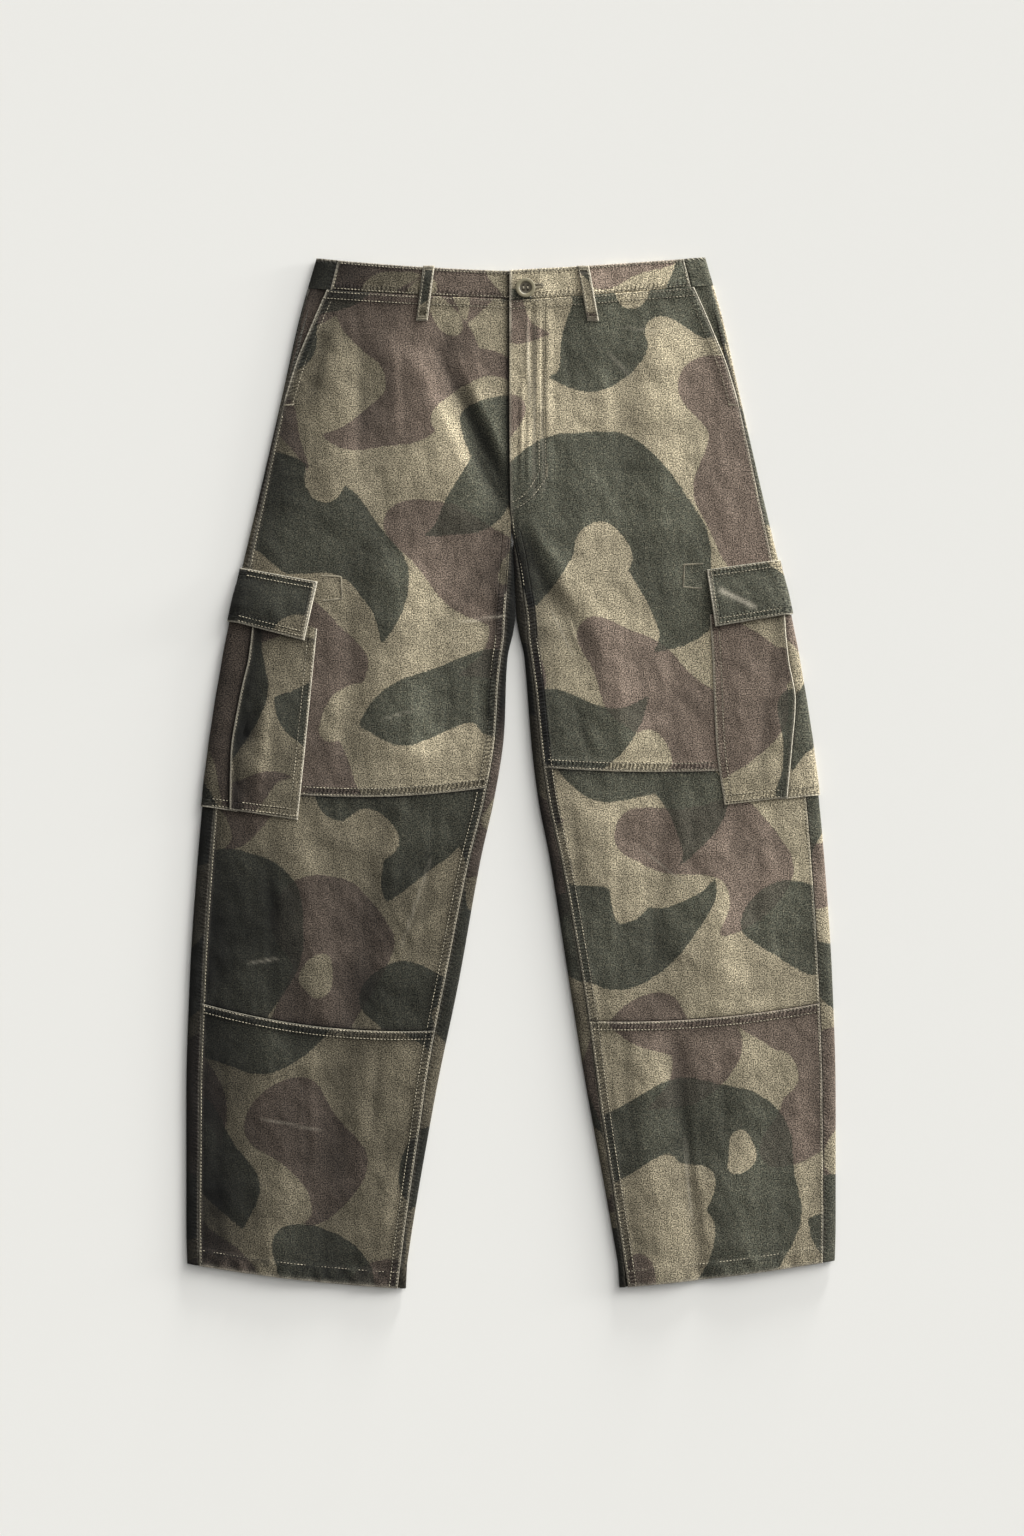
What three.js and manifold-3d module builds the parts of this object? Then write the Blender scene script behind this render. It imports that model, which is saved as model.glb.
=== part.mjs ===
// Cargo pants laid flat on a table, fly side up, with the waist towards +Y.
// Millimetres, +Z up. Right and left are the wearer's: right is at -X.
// The back panels lie on the table and roll over both side folds of each leg. The front panels
// lie on top of them and meet them at the outseam and inseam, so each leg is a flattened tube.
// Positions are worked out as x, and drop, which is the distance below the waist's highest point.

import * as THREE from "three";
import Module from "manifold-3d";
import { mergeVertices } from "three/addons/utils/BufferGeometryUtils.js";

const wasm = await Module();
wasm.setup();

// Thicknesses of the sewn layers, and the clearance between neighbouring pieces.
const CLOTH = 1.2;
const FACING = 0.8;
const BAND = 1.8;
const FLAP = 2.0;
const LOOP = 1.2;
const GAP = 0.3;
// Between panels whose seam curves as they meet.
const SEAM = 0.45;

// The rolled side folds of a leg: their half-ellipse reaches ROLL inwards, QUARTER along the cloth.
const ROLL = 8;
const QUARTER = 9;

// Seam allowances and turned hems stand proud of the panel that they are sewn to.
const ALLOWANCE = { wide: 9, step: 0.9, proud: 0.8 };
const HEM = { wide: 15, proud: 0.9 };
// A fold's inner face follows only this share of a ridge, so the wall is thicker there.
const RIDGE_SHARE = 0.3;

// The garment's extremes are centred on the origin by this shift.
const SHIFT = { x: 0, drop: 515 };

// Half widths from the middle of the garment to the outer and inner fold of a leg, and how far
// the middle has slid sideways. Inner is 0 above the crotch.
const OUTLINE = [
  { drop: 0, outer: 194, inner: 0, middle: -2 },
  { drop: 60, outer: 211, inner: 0, middle: -2 },
  { drop: 140, outer: 229, inner: 0, middle: -2 },
  { drop: 240, outer: 252, inner: 0, middle: -1 },
  { drop: 312, outer: 269, inner: 0, middle: 3 },
  { drop: 345, outer: 276, inner: 1.2, middle: 4 },
  { drop: 400, outer: 287, inner: 9.5, middle: 5 },
  { drop: 480, outer: 300, inner: 13.5, middle: 6.3 },
  { drop: 540, outer: 307.5, inner: 21.8, middle: 5.2 },
  { drop: 600, outer: 313, inner: 34.3, middle: 4.3 },
  { drop: 720, outer: 321, inner: 54.5, middle: 3 },
  { drop: 840, outer: 324.5, inner: 76.6, middle: 0.5 },
  { drop: 960, outer: 324.5, inner: 98, middle: 1 },
  { drop: 1035, outer: 322.5, inner: 110, middle: 2 },
];

// Height of the top cloth's outer face over the table.
const HEIGHTS = [
  { drop: 0, height: 6.2 },
  { drop: 60, height: 6.0 },
  { drop: 300, height: 5.9 },
  { drop: 640, height: 5.7 },
  { drop: 1035, height: 5.2 },
];

// How far the front panel's edge lies inside the outer fold (outseam and pocket opening), and
// inside the inner fold (inseam).
const EDGES = [
  { drop: 30, outseam: 20, inseam: 0.15 },
  { drop: 70, outseam: 13, inseam: 0.15 },
  { drop: 110, outseam: 6, inseam: 0.15 },
  { drop: 150, outseam: 3.2, inseam: 0.15 },
  { drop: 296, outseam: 6, inseam: 0.15 },
  { drop: 330, outseam: 9, inseam: 4 },
  { drop: 400, outseam: 11, inseam: 5 },
  { drop: 540, outseam: 13, inseam: 10 },
  { drop: 740, outseam: 14, inseam: 14 },
  { drop: 900, outseam: 13, inseam: 9 },
  { drop: 1035, outseam: 12, inseam: 6 },
];

// Curved seams across the leg, as their drop at the outer fold, half way and at the inner side,
// and the cargo pocket, as its edges' distance from the middle of the garment.
const SIDES = [
  {
    name: "right",
    sign: -1,
    waistTop: [1, 9, 13.7],
    waistSeam: [31, 37.5, 41.5],
    kneeTop: [524, 539, 528],
    kneeBottom: [741, 768, 771],
    hem: [1005, 1021, 1030],
    flap: { top: [310, 324], bottom: [363, 383], inner: [190, 202] },
    pocketBottom: [548, 562],
    pocket: [
      { drop: 360, inner: 192.5, pleat: 257 },
      { drop: 400, inner: 196.5, pleat: 262 },
      { drop: 440, inner: 200.5, pleat: 271 },
      { drop: 500, inner: 206.5, pleat: 280 },
      { drop: 562, inner: 213, pleat: 281 },
    ],
    loop: { x: [-82, -89], drop: [8.5, 63.5] },
  },
  {
    name: "left",
    sign: 1,
    waistTop: [0, 7, 13],
    waistSeam: [28, 36, 43],
    kneeTop: [506, 514, 509],
    kneeBottom: [742, 760, 762],
    hem: [1002, 1018, 1029],
    flap: { top: [302, 312], bottom: [356, 369], inner: [193, 201] },
    pocketBottom: [537, 547],
    pocket: [
      { drop: 350, inner: 198, pleat: 272 },
      { drop: 400, inner: 201, pleat: 277 },
      { drop: 443, inner: 202.6, pleat: 284 },
      { drop: 489, inner: 205, pleat: 280.5 },
      { drop: 547, inner: 213, pleat: 275 },
    ],
    loop: { x: [72, 82], drop: [8.5, 64] },
  },
];

// The largest folds of the top cloth: soft ridges (height over 0) and troughs (under 0).
const FOLDS = [
  { x: [-62, -14], drop: [100, 232], wide: 16, height: -1.3 },
  { x: [-92, -40], drop: [110, 250], wide: 20, height: 2.2 },
  { x: [-136, -130], drop: [110, 255], wide: 17, height: -1.3 },
  { x: [-172, -168], drop: [115, 255], wide: 20, height: 1.8 },
  { x: [-155, -160], drop: [330, 500], wide: 15, height: -1.3 },
  { x: [-105, -95], drop: [330, 495], wide: 24, height: 1.9 },
  { x: [112, 120], drop: [115, 300], wide: 18, height: -1.3 },
  { x: [150, 158], drop: [90, 265], wide: 20, height: 1.8 },
  { x: [40, 84], drop: [335, 430], wide: 13, height: -1.4 },
  { x: [75, 120], drop: [335, 475], wide: 20, height: 1.8 },
  { x: [-205, -190], drop: [605, 750], wide: 20, height: 1.6 },
  { x: [-130, -150], drop: [565, 760], wide: 18, height: -1.4 },
  { x: [150, 148], drop: [540, 750], wide: 15, height: -1.5 },
  { x: [205, 218], drop: [595, 740], wide: 20, height: 1.7 },
  { x: [-235, -228], drop: [790, 1010], wide: 24, height: 1.6 },
  { x: [-165, -172], drop: [800, 1015], wide: 19, height: -1.3 },
  { x: [165, 190], drop: [790, 1018], wide: 12, height: -1.9 },
  { x: [138, 152], drop: [800, 1018], wide: 20, height: 1.6 },
  { x: [232, 240], drop: [800, 1005], wide: 24, height: 1.5 },
];

// The fly: its lap over the right front, its curved stitching, and the layers under it.
const FLY = { wide: 38, drop: 253, curve: 31, soft: 8, proud: 1.5 };
const UNDERLAP = { wide: 10, sink: 0.8, soft: 14, from: 205, to: 230 };
// The left waistband laps over the right one, which runs on under it.
const LAP = { wide: 28, soft: 32, underlap: 25, proud: BAND + GAP };
const BUTTON = { x: 14.5, drop: 31, radius: 9.75, thick: 3, hole: 1.1, spacing: 2.1 };
// A folded strap, sewn at both ends and standing clear of the waistband between them.
const STRAP = { wide: 11.5, clear: 2.2, thick: LOOP };
const BACK_LOOPS = [
  { name: "right", x: -98 },
  { name: "centre", x: 0 },
  { name: "left", x: 98 },
];
const BACK_LOOP_DROP = [15, 68];
// Underneath, the back loops and the rear halves of the cargo pockets lift the cloth.
const LOOP_LIFT = { rise: LOOP + GAP, from: 72, soft: 46 };
const POCKET_UNDER = { reach: 30, clear: 5, soft: 20, ends: 12 };
const HAND_POCKET = { bottom: 150, under: 13, seam: 2 };
const POCKET_FULL = 1.2;
const PLEAT = { tuck: 8, fold: 0.5 };
// The flap stands off by what lies under it: the pocket's two layers, its pleat and the gaps.
const FLAP_STAND = 2 * (CLOTH + GAP) + PLEAT.fold;
const CROTCH = { parts: [235, 325], curl: [300, 335] };

const mix = (a, b, t) => a + (b - a) * t;
const clamp = (t) => Math.min(1, Math.max(0, t));
const smooth = (t) => clamp(t) ** 2 * (3 - 2 * clamp(t));

// Reads a column of a table at any drop: a smooth curve that never overshoots the rows.
function read(table, column, drop) {
  const last = table.length - 1;
  const slope = (i) =>
    (table[i + 1][column] - table[i][column]) / (table[i + 1].drop - table[i].drop);
  const tangent = (i) => {
    if (i === 0 || i === last) return slope(Math.min(i, last - 1));
    const [before, after] = [slope(i - 1), slope(i)];
    return before * after <= 0 ? 0 : (2 * before * after) / (before + after);
  };
  let i = 0;
  while (i < last - 1 && drop > table[i + 1].drop) i += 1;
  const span = table[i + 1].drop - table[i].drop;
  const t = (drop - table[i].drop) / span;
  const along = (1 + 2 * t) * (1 - t) ** 2 * table[i][column];
  const onwards = t * t * (3 - 2 * t) * table[i + 1][column];
  const bends = t * (1 - t) ** 2 * tangent(i) - t * t * (1 - t) * tangent(i + 1);
  return along + onwards + bends * span;
}

// A seam across the garment, at a share of the way from the outer side inwards.
function across([outer, half, inner], share) {
  const bend = 4 * half - 2 * outer - 2 * inner;
  return mix(outer, inner, share) + bend * share * (1 - share);
}

const outerFold = (drop) => read(OUTLINE, "outer", drop);
const middle = (side, drop) => side.sign * read(OUTLINE, "middle", drop);
const innerFold = (side, drop) => read(OUTLINE, "inner", drop) + middle(side, drop);

// 1 inside a span of drops, fading evenly to 0 over `soft` outside it.
const within = (drop, from, to, soft) =>
  Math.min(clamp((drop - from + soft) / soft), clamp((to + soft - drop) / soft));

// How far the underside is lifted off the table, at a distance in from the outer fold.
function lift(side, inFromFold, drop) {
  const { reach, clear, soft, ends } = POCKET_UNDER;
  const loops = LOOP_LIFT.rise * (1 - clamp((drop - LOOP_LIFT.from) / LOOP_LIFT.soft));
  const near = 1 - clamp((inFromFold - ROLL - reach - clear) / soft);
  const flap = within(drop, side.flap.top[0] - clear, side.flap.bottom[0] + clear, ends);
  const pocket = within(drop, side.flap.bottom[0], side.pocketBottom[0] + clear, ends);
  return Math.max(loops, near * Math.max((FLAP + GAP) * flap, (CLOTH + GAP) * pocket));
}

// 0 at a fold's tip, rising to 1 where its ellipse meets the flat.
const rounded = (d) => (d >= ROLL ? 1 : Math.sqrt(1 - (1 - Math.max(d, 0) / ROLL) ** 2));

function folds(x, drop) {
  let sum = 0;
  for (const fold of FOLDS) {
    const [dx, dd] = [fold.x[1] - fold.x[0], fold.drop[1] - fold.drop[0]];
    const t = clamp(((x - fold.x[0]) * dx + (drop - fold.drop[0]) * dd) / (dx * dx + dd * dd));
    const away = Math.hypot(x - fold.x[0] - t * dx, drop - fold.drop[0] - t * dd);
    sum += fold.height * Math.exp(-((away / fold.wide) ** 2));
  }
  return sum;
}

// The outer and inner face of the top cloth, q mm from the middle on this side.
function topCloth(side, q, drop) {
  const height = read(HEIGHTS, "height", drop);
  const [out, inn] = [outerFold(drop) - q, q - innerFold(side, drop)];
  const parted = smooth((drop - CROTCH.parts[0]) / (CROTCH.parts[1] - CROTCH.parts[0]));
  const outDip = ((height - lift(side, 0, drop)) / 2) * (1 - rounded(out));
  const innDip = (height / 2) * parted * (1 - rounded(inn));
  const calm = smooth((out - ROLL) / 25) * mix(1, smooth((inn - ROLL) / 25), parted);
  const relief = folds(side.sign * q, drop) * calm;
  const plain = height - outDip - innDip;
  const under = plain + (relief > 0 ? RIDGE_SHARE * relief : relief) - CLOTH;
  return { outer: plain + relief, inner: under };
}
const top = (side, q, drop) => topCloth(side, q, drop).outer;

// A point on the outside of the tube of cloth, `around` mm from a fold's tip along the cloth, over
// the top where it is positive and underneath where it is negative, and `off` mm outside it.
function skin(side, fold, around, drop, off) {
  const outer = fold === "outer";
  const tip = outer ? outerFold(drop) : innerFold(side, drop);
  const inwards = outer ? -1 : 1;
  const low = outer ? lift(side, 0, drop) : 0;
  const half = (read(HEIGHTS, "height", drop) - low) / 2;
  const beyond = Math.abs(around) - QUARTER;
  if (beyond <= 0) {
    const turn = (around / QUARTER) * (Math.PI / 2);
    const q = tip + inwards * (ROLL - (ROLL + off) * Math.cos(turn));
    return { q, z: low + half + (half + off) * Math.sin(turn) };
  }
  const q = tip + inwards * (ROLL + beyond);
  if (around > 0) return { q, z: top(side, q, drop) + off };
  const floor = outer ? lift(side, ROLL + beyond, drop) : 0;
  return { q, z: floor - off };
}

// The distance along the cloth from a fold's tip to a line `inset` inside it.
const aroundTo = (inset) =>
  inset < ROLL
    ? (QUARTER * Math.acos(1 - Math.max(inset, 0) / ROLL)) / (Math.PI / 2)
    : QUARTER + inset - ROLL;

const place = (side, q, drop, z) => [
  side.sign * q - SHIFT.x,
  SHIFT.drop - drop,
  Math.max(0, z),
];

const group = new THREE.Group();
const twill = (color) => new THREE.MeshStandardMaterial({ color, roughness: 0.95, metalness: 0 });
const CLOTHS = { field: twill(0x7d7660), dark: twill(0x4b4e45), brown: twill(0x5d5049) };
const HORN = new THREE.MeshStandardMaterial({ color: 0x5c5847, roughness: 0.45, metalness: 0 });

function addMesh(name, geometry, material) {
  const mesh = new THREE.Mesh(geometry, material);
  mesh.name = name;
  group.add(mesh);
}

// A closed wall of cloth. `face(column, row, off)` gives a point of its outer or inner side.
function wall(name, columns, rows, face, material) {
  const [wide, long] = [columns.length, rows.length];
  const points = [];
  for (const outside of [true, false])
    for (const row of rows) for (const column of columns) points.push(...face(column, row, outside));
  const at = (i, j, outside) => (outside ? 0 : wide * long) + j * wide + i;
  const faces = [];
  const quad = (a, b, c, d) => faces.push(a, b, c, a, c, d);
  for (let j = 0; j + 1 < long; j += 1)
    for (let i = 0; i + 1 < wide; i += 1) {
      quad(at(i, j, true), at(i, j + 1, true), at(i + 1, j + 1, true), at(i + 1, j, true));
      quad(at(i, j, false), at(i + 1, j, false), at(i + 1, j + 1, false), at(i, j + 1, false));
    }
  for (let i = 0; i + 1 < wide; i += 1) {
    quad(at(i, 0, true), at(i + 1, 0, true), at(i + 1, 0, false), at(i, 0, false));
    const j = long - 1;
    quad(at(i + 1, j, true), at(i, j, true), at(i, j, false), at(i + 1, j, false));
  }
  for (let j = 0; j + 1 < long; j += 1) {
    quad(at(0, j + 1, true), at(0, j, true), at(0, j, false), at(0, j + 1, false));
    const i = wide - 1;
    quad(at(i, j, true), at(i, j + 1, true), at(i, j + 1, false), at(i, j, false));
  }
  const geometry = new THREE.BufferGeometry();
  geometry.setAttribute("position", new THREE.Float32BufferAttribute(points, 3));
  geometry.setIndex(volume(points, faces) > 0 ? faces : faces.reverse());
  addMesh(name, geometry, material);
}

function volume(points, faces) {
  const corner = (i) => new THREE.Vector3().fromArray(points, 3 * i);
  let sum = 0;
  for (let i = 0; i < faces.length; i += 3)
    sum += corner(faces[i]).dot(corner(faces[i + 1]).cross(corner(faces[i + 2])));
  return sum;
}

// Grid lines as a share of the way plus a distance in mm, evenly between, crisp at a step.
const line = (share, offset = 0) => ({ share, offset });
const evenly = (count) => Array.from({ length: count - 1 }, (_, i) => line((i + 1) / count));
const stepAt = (share, distance) => [
  line(share, distance),
  line(share, distance + Math.sign(distance) * ALLOWANCE.step),
];

// How far a turned edge stands proud, `distance` mm inside it.
const turned = (distance, { wide, proud }) =>
  proud * clamp((wide + ALLOWANCE.step - distance) / ALLOWANCE.step);

const waistSeam = (side, q) => across(side.waistSeam, 1 - q / outerFold(30));
const waistTop = (side, q) => across(side.waistTop, 1 - q / outerFold(5));

// The edge of the front nearest the middle: the fly above the crotch and the inseam below it.
// The right front runs on under the left one.
const underlap = (drop) =>
  1 - smooth((drop - UNDERLAP.from) / (UNDERLAP.to - UNDERLAP.from));
function frontInner(side, drop) {
  const seam = innerFold(side, drop) + read(EDGES, "inseam", drop);
  return side.sign > 0 ? seam : seam - UNDERLAP.wide * underlap(drop);
}

// The left front stands proud where the fly's facing lies under it, inside its curved stitching,
// and the right front sinks to pass below it.
function flyProud(side, q, drop) {
  const away = q - middle(side, drop);
  if (side.sign < 0) return -UNDERLAP.sink * underlap(drop) * (1 - smooth(away / UNDERLAP.soft));
  const end = FLY.drop - FLY.curve * clamp(away / FLY.wide) ** 2;
  const sideways = 1 - smooth((away - FLY.wide) / FLY.soft);
  return FLY.proud * sideways * (1 - smooth((drop - end) / FLY.soft));
}

// Seam allowances lie flat under a cargo pocket, under the fly's lap and at the side roll.
function seamRise(side, q, drop) {
  const lap = side.sign < 0 && drop < FLY.drop ? clamp((q - 6) / 16) : 1;
  const beside = clamp((read(side.pocket, "inner", drop) - 3 - q) / 20);
  return drop > side.flap.bottom[0] && drop < side.pocketBottom[1] + 4 ? beside : lap;
}

function frontPanel(side, piece, upper, lower, rows, edges) {
  const face = (column, row, outside) => {
    const at = (drop) => {
      const outer = outerFold(drop) - read(EDGES, "outseam", drop);
      const inner = frontInner(side, drop);
      return { q: mix(outer, inner, column.share) - column.offset, inner };
    };
    const [from, to] = [upper(at(upper(150)).q), lower(at(lower(150)).q)];
    const drop = mix(from, to, row.share) + row.offset;
    const { q, inner } = at(drop);
    const inseam = smooth((drop - 330) / 10) * turned(q - inner, ALLOWANCE);
    const proud = Math.max(
      edges.top ? turned(drop - from, edges.top) : 0,
      edges.bottom ? turned(to - drop, edges.bottom) : 0,
      inseam,
    );
    const cloth = topCloth(side, q, drop);
    const raised = flyProud(side, q, drop);
    const outer = cloth.outer + raised + proud * seamRise(side, q, drop);
    return place(side, q, drop, outside ? outer : cloth.inner + raised);
  };
  const columns = [
    line(0),
    line(0, 5.5),
    ...evenly(14).slice(0, -1),
    ...stepAt(1, -ALLOWANCE.wide).reverse(),
    line(1),
  ];
  const downwards = [
    line(0),
    ...(edges.top ? stepAt(0, edges.top.wide) : []),
    ...evenly(rows),
    ...(edges.bottom ? stepAt(1, -edges.bottom.wide).reverse() : []),
    line(1),
  ];
  wall(`front_${piece}_${side.name}`, columns, downwards, face, CLOTHS.field);
}

function frontPanels(side) {
  // A seam's drop at a distance q from the middle, read where the seam itself lies.
  const seam = (drops) => (q) =>
    across(drops, (outerFold(drops[1]) - q) / (outerFold(drops[1]) - innerFold(side, drops[1])));
  const [above, below] = [seam(side.kneeTop), seam(side.kneeBottom)];
  const waist = (q) => waistSeam(side, q) + GAP;
  const [pastAbove, pastBelow] = [(q) => above(q) + GAP, (q) => below(q) + GAP];
  frontPanel(side, "thigh", waist, above, 18, { top: ALLOWANCE, bottom: ALLOWANCE });
  frontPanel(side, "knee", pastAbove, below, 8, {});
  frontPanel(side, "shin", pastBelow, seam(side.hem), 9, { top: ALLOWANCE, bottom: HEM });
}

// The back's edge: at the side seam behind the hand pocket, and along the front's edge below it.
function backOutset(drop) {
  const front = read(EDGES, "outseam", drop) - SEAM;
  return mix(HAND_POCKET.seam, front, smooth((drop - HAND_POCKET.bottom) / 20));
}

const BACK_DROPS = [
  72, 95, 118, 150, 170, 195, 228, 262, 278, 316, 325, 335, 350, 398, 425, 450, 475, 500, 524, 580,
  608, 640, 680, 720, 770, 820, 890, 960,
];

// The drops where the underside starts and stops being lifted, so that a row lies on each.
function liftDrops(side) {
  const { clear, ends } = POCKET_UNDER;
  const [high, low] = [side.flap.top[0] - clear, side.flap.bottom[0] + clear];
  const foot = side.pocketBottom[0] + clear;
  const level = low + ends * (1 - (CLOTH + GAP) / (FLAP + GAP));
  return [high - ends, high, low, level, foot, foot + ends];
}

// Lines round a fold, as signed distances along the cloth: from the outermost over the top, down
// over the roll and to the start of the flat underneath.
const roll = [1, 2 / 3, 1 / 3, 0, -1 / 3, -2 / 3, -1].map((share) => share * QUARTER);

function backPanel(side) {
  const { reach, clear, soft } = POCKET_UNDER;
  const columns = [{ kind: "edge" }, ...roll.map((around) => ({ kind: "roll", around }))];
  for (const inset of [reach + clear, reach + clear + soft]) columns.push({ kind: "flat", inset });
  for (const share of [0.25, 0.5, 0.75]) columns.push({ kind: "flat", share });
  for (const share of [-1, -2 / 3, -1 / 3, 0]) columns.push({ kind: "curl", share });
  for (const share of [0.33, 0.66, 1]) columns.push({ kind: "curl over", share });
  columns.forEach((column, i) => (column.fromEdge = columns.length - 1 - i));
  const strip = 0.9;
  const point = (column, drop, off) => {
    const [outer, inner] = [outerFold(drop), innerFold(side, drop)];
    if (column.kind === "edge") {
      const q = outer - backOutset(drop);
      return { q, z: top(side, q, drop) + off };
    }
    if (column.kind === "roll") {
      const over = aroundTo(backOutset(drop)) * 0.9;
      return skin(side, "outer", Math.min(column.around, over), drop, off);
    }
    const curl = smooth((drop - CROTCH.curl[0]) / (CROTCH.curl[1] - CROTCH.curl[0]));
    const seam = inner + GAP / 2;
    if (column.kind === "flat") {
      const from = outer - ROLL - reach - clear - soft;
      const to = mix(seam + 8 * strip, inner + ROLL, curl);
      const q = column.share ? mix(from, to, column.share) : outer - ROLL - column.inset;
      return { q, z: lift(side, outer - q, drop) - off };
    }
    const laid = { q: seam + column.fromEdge * strip };
    laid.z = lift(side, outer - laid.q, drop) - off;
    const over = aroundTo(read(EDGES, "inseam", drop) - SEAM);
    const around = column.share * (column.kind === "curl" ? QUARTER : over);
    const rolled = skin(side, "inner", around, drop, off);
    if (column.share === 1) {
      rolled.q = inner + Math.max(0, read(EDGES, "inseam", drop) - SEAM);
      rolled.z = top(side, rolled.q, drop) + off;
    }
    return { q: mix(laid.q, rolled.q, curl), z: mix(laid.z, rolled.z, curl) };
  };
  const face = (column, row, outside) => {
    const { q: roughly } = point(column, row.drop, 0);
    let { drop } = row;
    if (row.end === "waist") drop = waistSeam(side, roughly) + GAP;
    if (row.end === "hem") {
      const [outer, inner] = [outerFold(drop), innerFold(side, drop)];
      drop = across(side.hem, (outer - roughly) / (outer - inner));
    }
    const { q, z } = point(column, drop, outside ? 0 : -CLOTH);
    return place(side, q, drop, z);
  };
  const drops = [...BACK_DROPS, ...liftDrops(side)].sort((a, b) => a - b);
  const rows = [
    { drop: 34, end: "waist" },
    ...drops.map((drop) => ({ drop })),
    { drop: 1015, end: "hem" },
  ];
  wall(`back_${side.name}`, columns, rows, face, CLOTHS.field);
}

// The facing shows in the slant opening, and runs on under the front's edge.
function pocketFacing(side) {
  const columns = [
    { from: HAND_POCKET.seam + SEAM },
    { from: HAND_POCKET.seam + SEAM, share: 0.5 },
    { past: -0.6 },
    { past: 5.5 },
    { past: HAND_POCKET.under },
  ];
  const face = (column, row, outside) => {
    const inset = (drop) => {
      const edge = read(EDGES, "outseam", drop);
      if (column.from === undefined) return edge + column.past;
      return mix(column.from, edge - 0.6, column.share ?? 0);
    };
    const from = waistSeam(side, outerFold(34) - inset(34)) + GAP;
    const drop = mix(from, HAND_POCKET.bottom, row.share);
    const q = outerFold(drop) - inset(drop);
    const tucked = column.past === undefined ? (column.share ?? 0) / 2 : 1;
    const z = top(side, q, drop) - (CLOTH + GAP) * tucked;
    return place(side, q, drop, outside ? z : z - FACING);
  };
  const rows = [line(0), ...evenly(7), line(1)];
  wall(`pocket_facing_${side.name}`, columns, rows, face, CLOTHS.brown);
}

// The end of the front waistband at the side, where the back one comes round to meet it.
const bandSeam = (side, drop) => mix(outerFold(5) - 23, outerFold(30) - 20, clamp(drop / 40));

const lapProud = (side, q) =>
  side.sign < 0 ? 0 : LAP.proud * (1 - smooth((q - LAP.wide) / LAP.soft));

function frontBand(side) {
  const face = (column, row, outside) => {
    const end = middle(side, 20) + (side.sign < 0 ? -LAP.underlap : GAP);
    const at = (drop) => mix(bandSeam(side, drop) - GAP, end, column.share);
    const drop = mix(waistTop(side, at(5)), waistSeam(side, at(34)), row.share);
    const q = at(drop);
    const z = top(side, q, drop) + lapProud(side, q);
    return place(side, q, drop, outside ? z : z - BAND);
  };
  const rows = [line(0), ...evenly(3), line(1)];
  wall(`waistband_front_${side.name}`, [line(0), ...evenly(18), line(1)], rows, face, CLOTHS.field);
}

function backBand() {
  const half = [{ kind: "edge" }, ...roll.map((around) => ({ kind: "roll", around }))];
  for (const share of [1, 2, 3, 4, 5, 6].map((i) => i / 7)) half.push({ kind: "flat", share });
  const columns = half.map((column) => ({ ...column, side: SIDES[0] }));
  columns.push({ kind: "flat", share: 1, side: SIDES[0] });
  for (const column of half.reverse()) columns.push({ ...column, side: SIDES[1] });
  const point = ({ kind, share, around, side }, drop, off) => {
    if (kind === "roll") return skin(side, "outer", around, drop, off);
    if (kind === "flat") {
      return { q: (outerFold(drop) - ROLL) * (1 - share), z: lift(side, 99, drop) - off };
    }
    const q = bandSeam(side, drop);
    return { q, z: top(side, q, drop) + off };
  };
  const face = (column, row, outside) => {
    const at = (drop) => point(column, drop, 0).q;
    const ends = [waistTop(column.side, at(5)), waistSeam(column.side, at(34))];
    const drop = mix(...ends, row.share);
    const { q, z } = point(column, drop, outside ? 0 : -BAND);
    return place(column.side, q, drop, z);
  };
  wall("waistband_back", columns, [line(0), line(0.5), line(1)], face, CLOTHS.field);
}

function frontLoop(side) {
  const steps = 12;
  const { x, drop: drops } = side.loop;
  const length = Math.hypot(x[1] - x[0], drops[1] - drops[0]);
  const face = (column, row, outside) => {
    const drop = mix(...drops, row.share);
    const q = side.sign * mix(...x, row.share) + column.share * STRAP.wide;
    const bar = clamp(Math.min(row.share, 1 - row.share) * length / 12);
    const proud = drop > waistSeam(side, q) - 1 ? ALLOWANCE.proud : 0;
    const z = top(side, q, drop) + GAP + Math.max(proud, STRAP.clear * smooth(bar));
    return place(side, q, drop, outside ? z + STRAP.thick : z);
  };
  const rows = [line(0), ...evenly(steps), line(1)];
  wall(`belt_loop_front_${side.name}`, [line(-0.5), line(0), line(0.5)], rows, face, CLOTHS.brown);
}

function backLoop({ name, x }) {
  const face = (column, row, outside) => {
    const drop = mix(...BACK_LOOP_DROP, row.share);
    return place({ sign: 1 }, x + column.share * STRAP.wide, drop, outside ? 0 : LOOP);
  };
  const rows = [line(0), ...evenly(3), line(1)];
  wall(`belt_loop_back_${name}`, [line(-0.5), line(0.5)], rows, face, CLOTHS.dark);
}

// The front half of a cargo pocket, from its sewn inner edge out to the fold of its pleat.
function pocketFront(side) {
  const { flap, pocket, pocketBottom } = side;
  const upper = (share) => mix(flap.bottom[1], flap.bottom[0], share) - 12;
  const lower = (share) => mix(pocketBottom[1], pocketBottom[0], share * 0.75);
  const face = (column, row, outside) => {
    const drop = mix(upper(column.share), lower(column.share), row.share);
    const ends = [read(pocket, "inner", drop), read(pocket, "pleat", drop)];
    const q = mix(...ends, column.share) + column.offset;
    const open = smooth(column.share * 1.5) * (CLOTH + GAP);
    const down = smooth((row.share - 0.15) * 1.6) * smooth((1 - row.share) * 4);
    const full = POCKET_FULL * Math.sin(Math.PI * column.share) * down;
    const fold = column.share > 0.9 && column.offset === 0 ? PLEAT.fold : 0;
    const off = GAP + open + full + (outside ? CLOTH + fold : 0);
    const point = skin(side, "outer", aroundTo(outerFold(drop) - q), drop, off);
    return place(side, point.q, drop, point.z);
  };
  const columns = [line(0), ...evenly(8), line(1, -1.5), line(1)];
  wall(`cargo_pocket_front_${side.name}`, columns, [line(0), ...evenly(10), line(1)], face, CLOTHS.brown);
}

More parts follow.
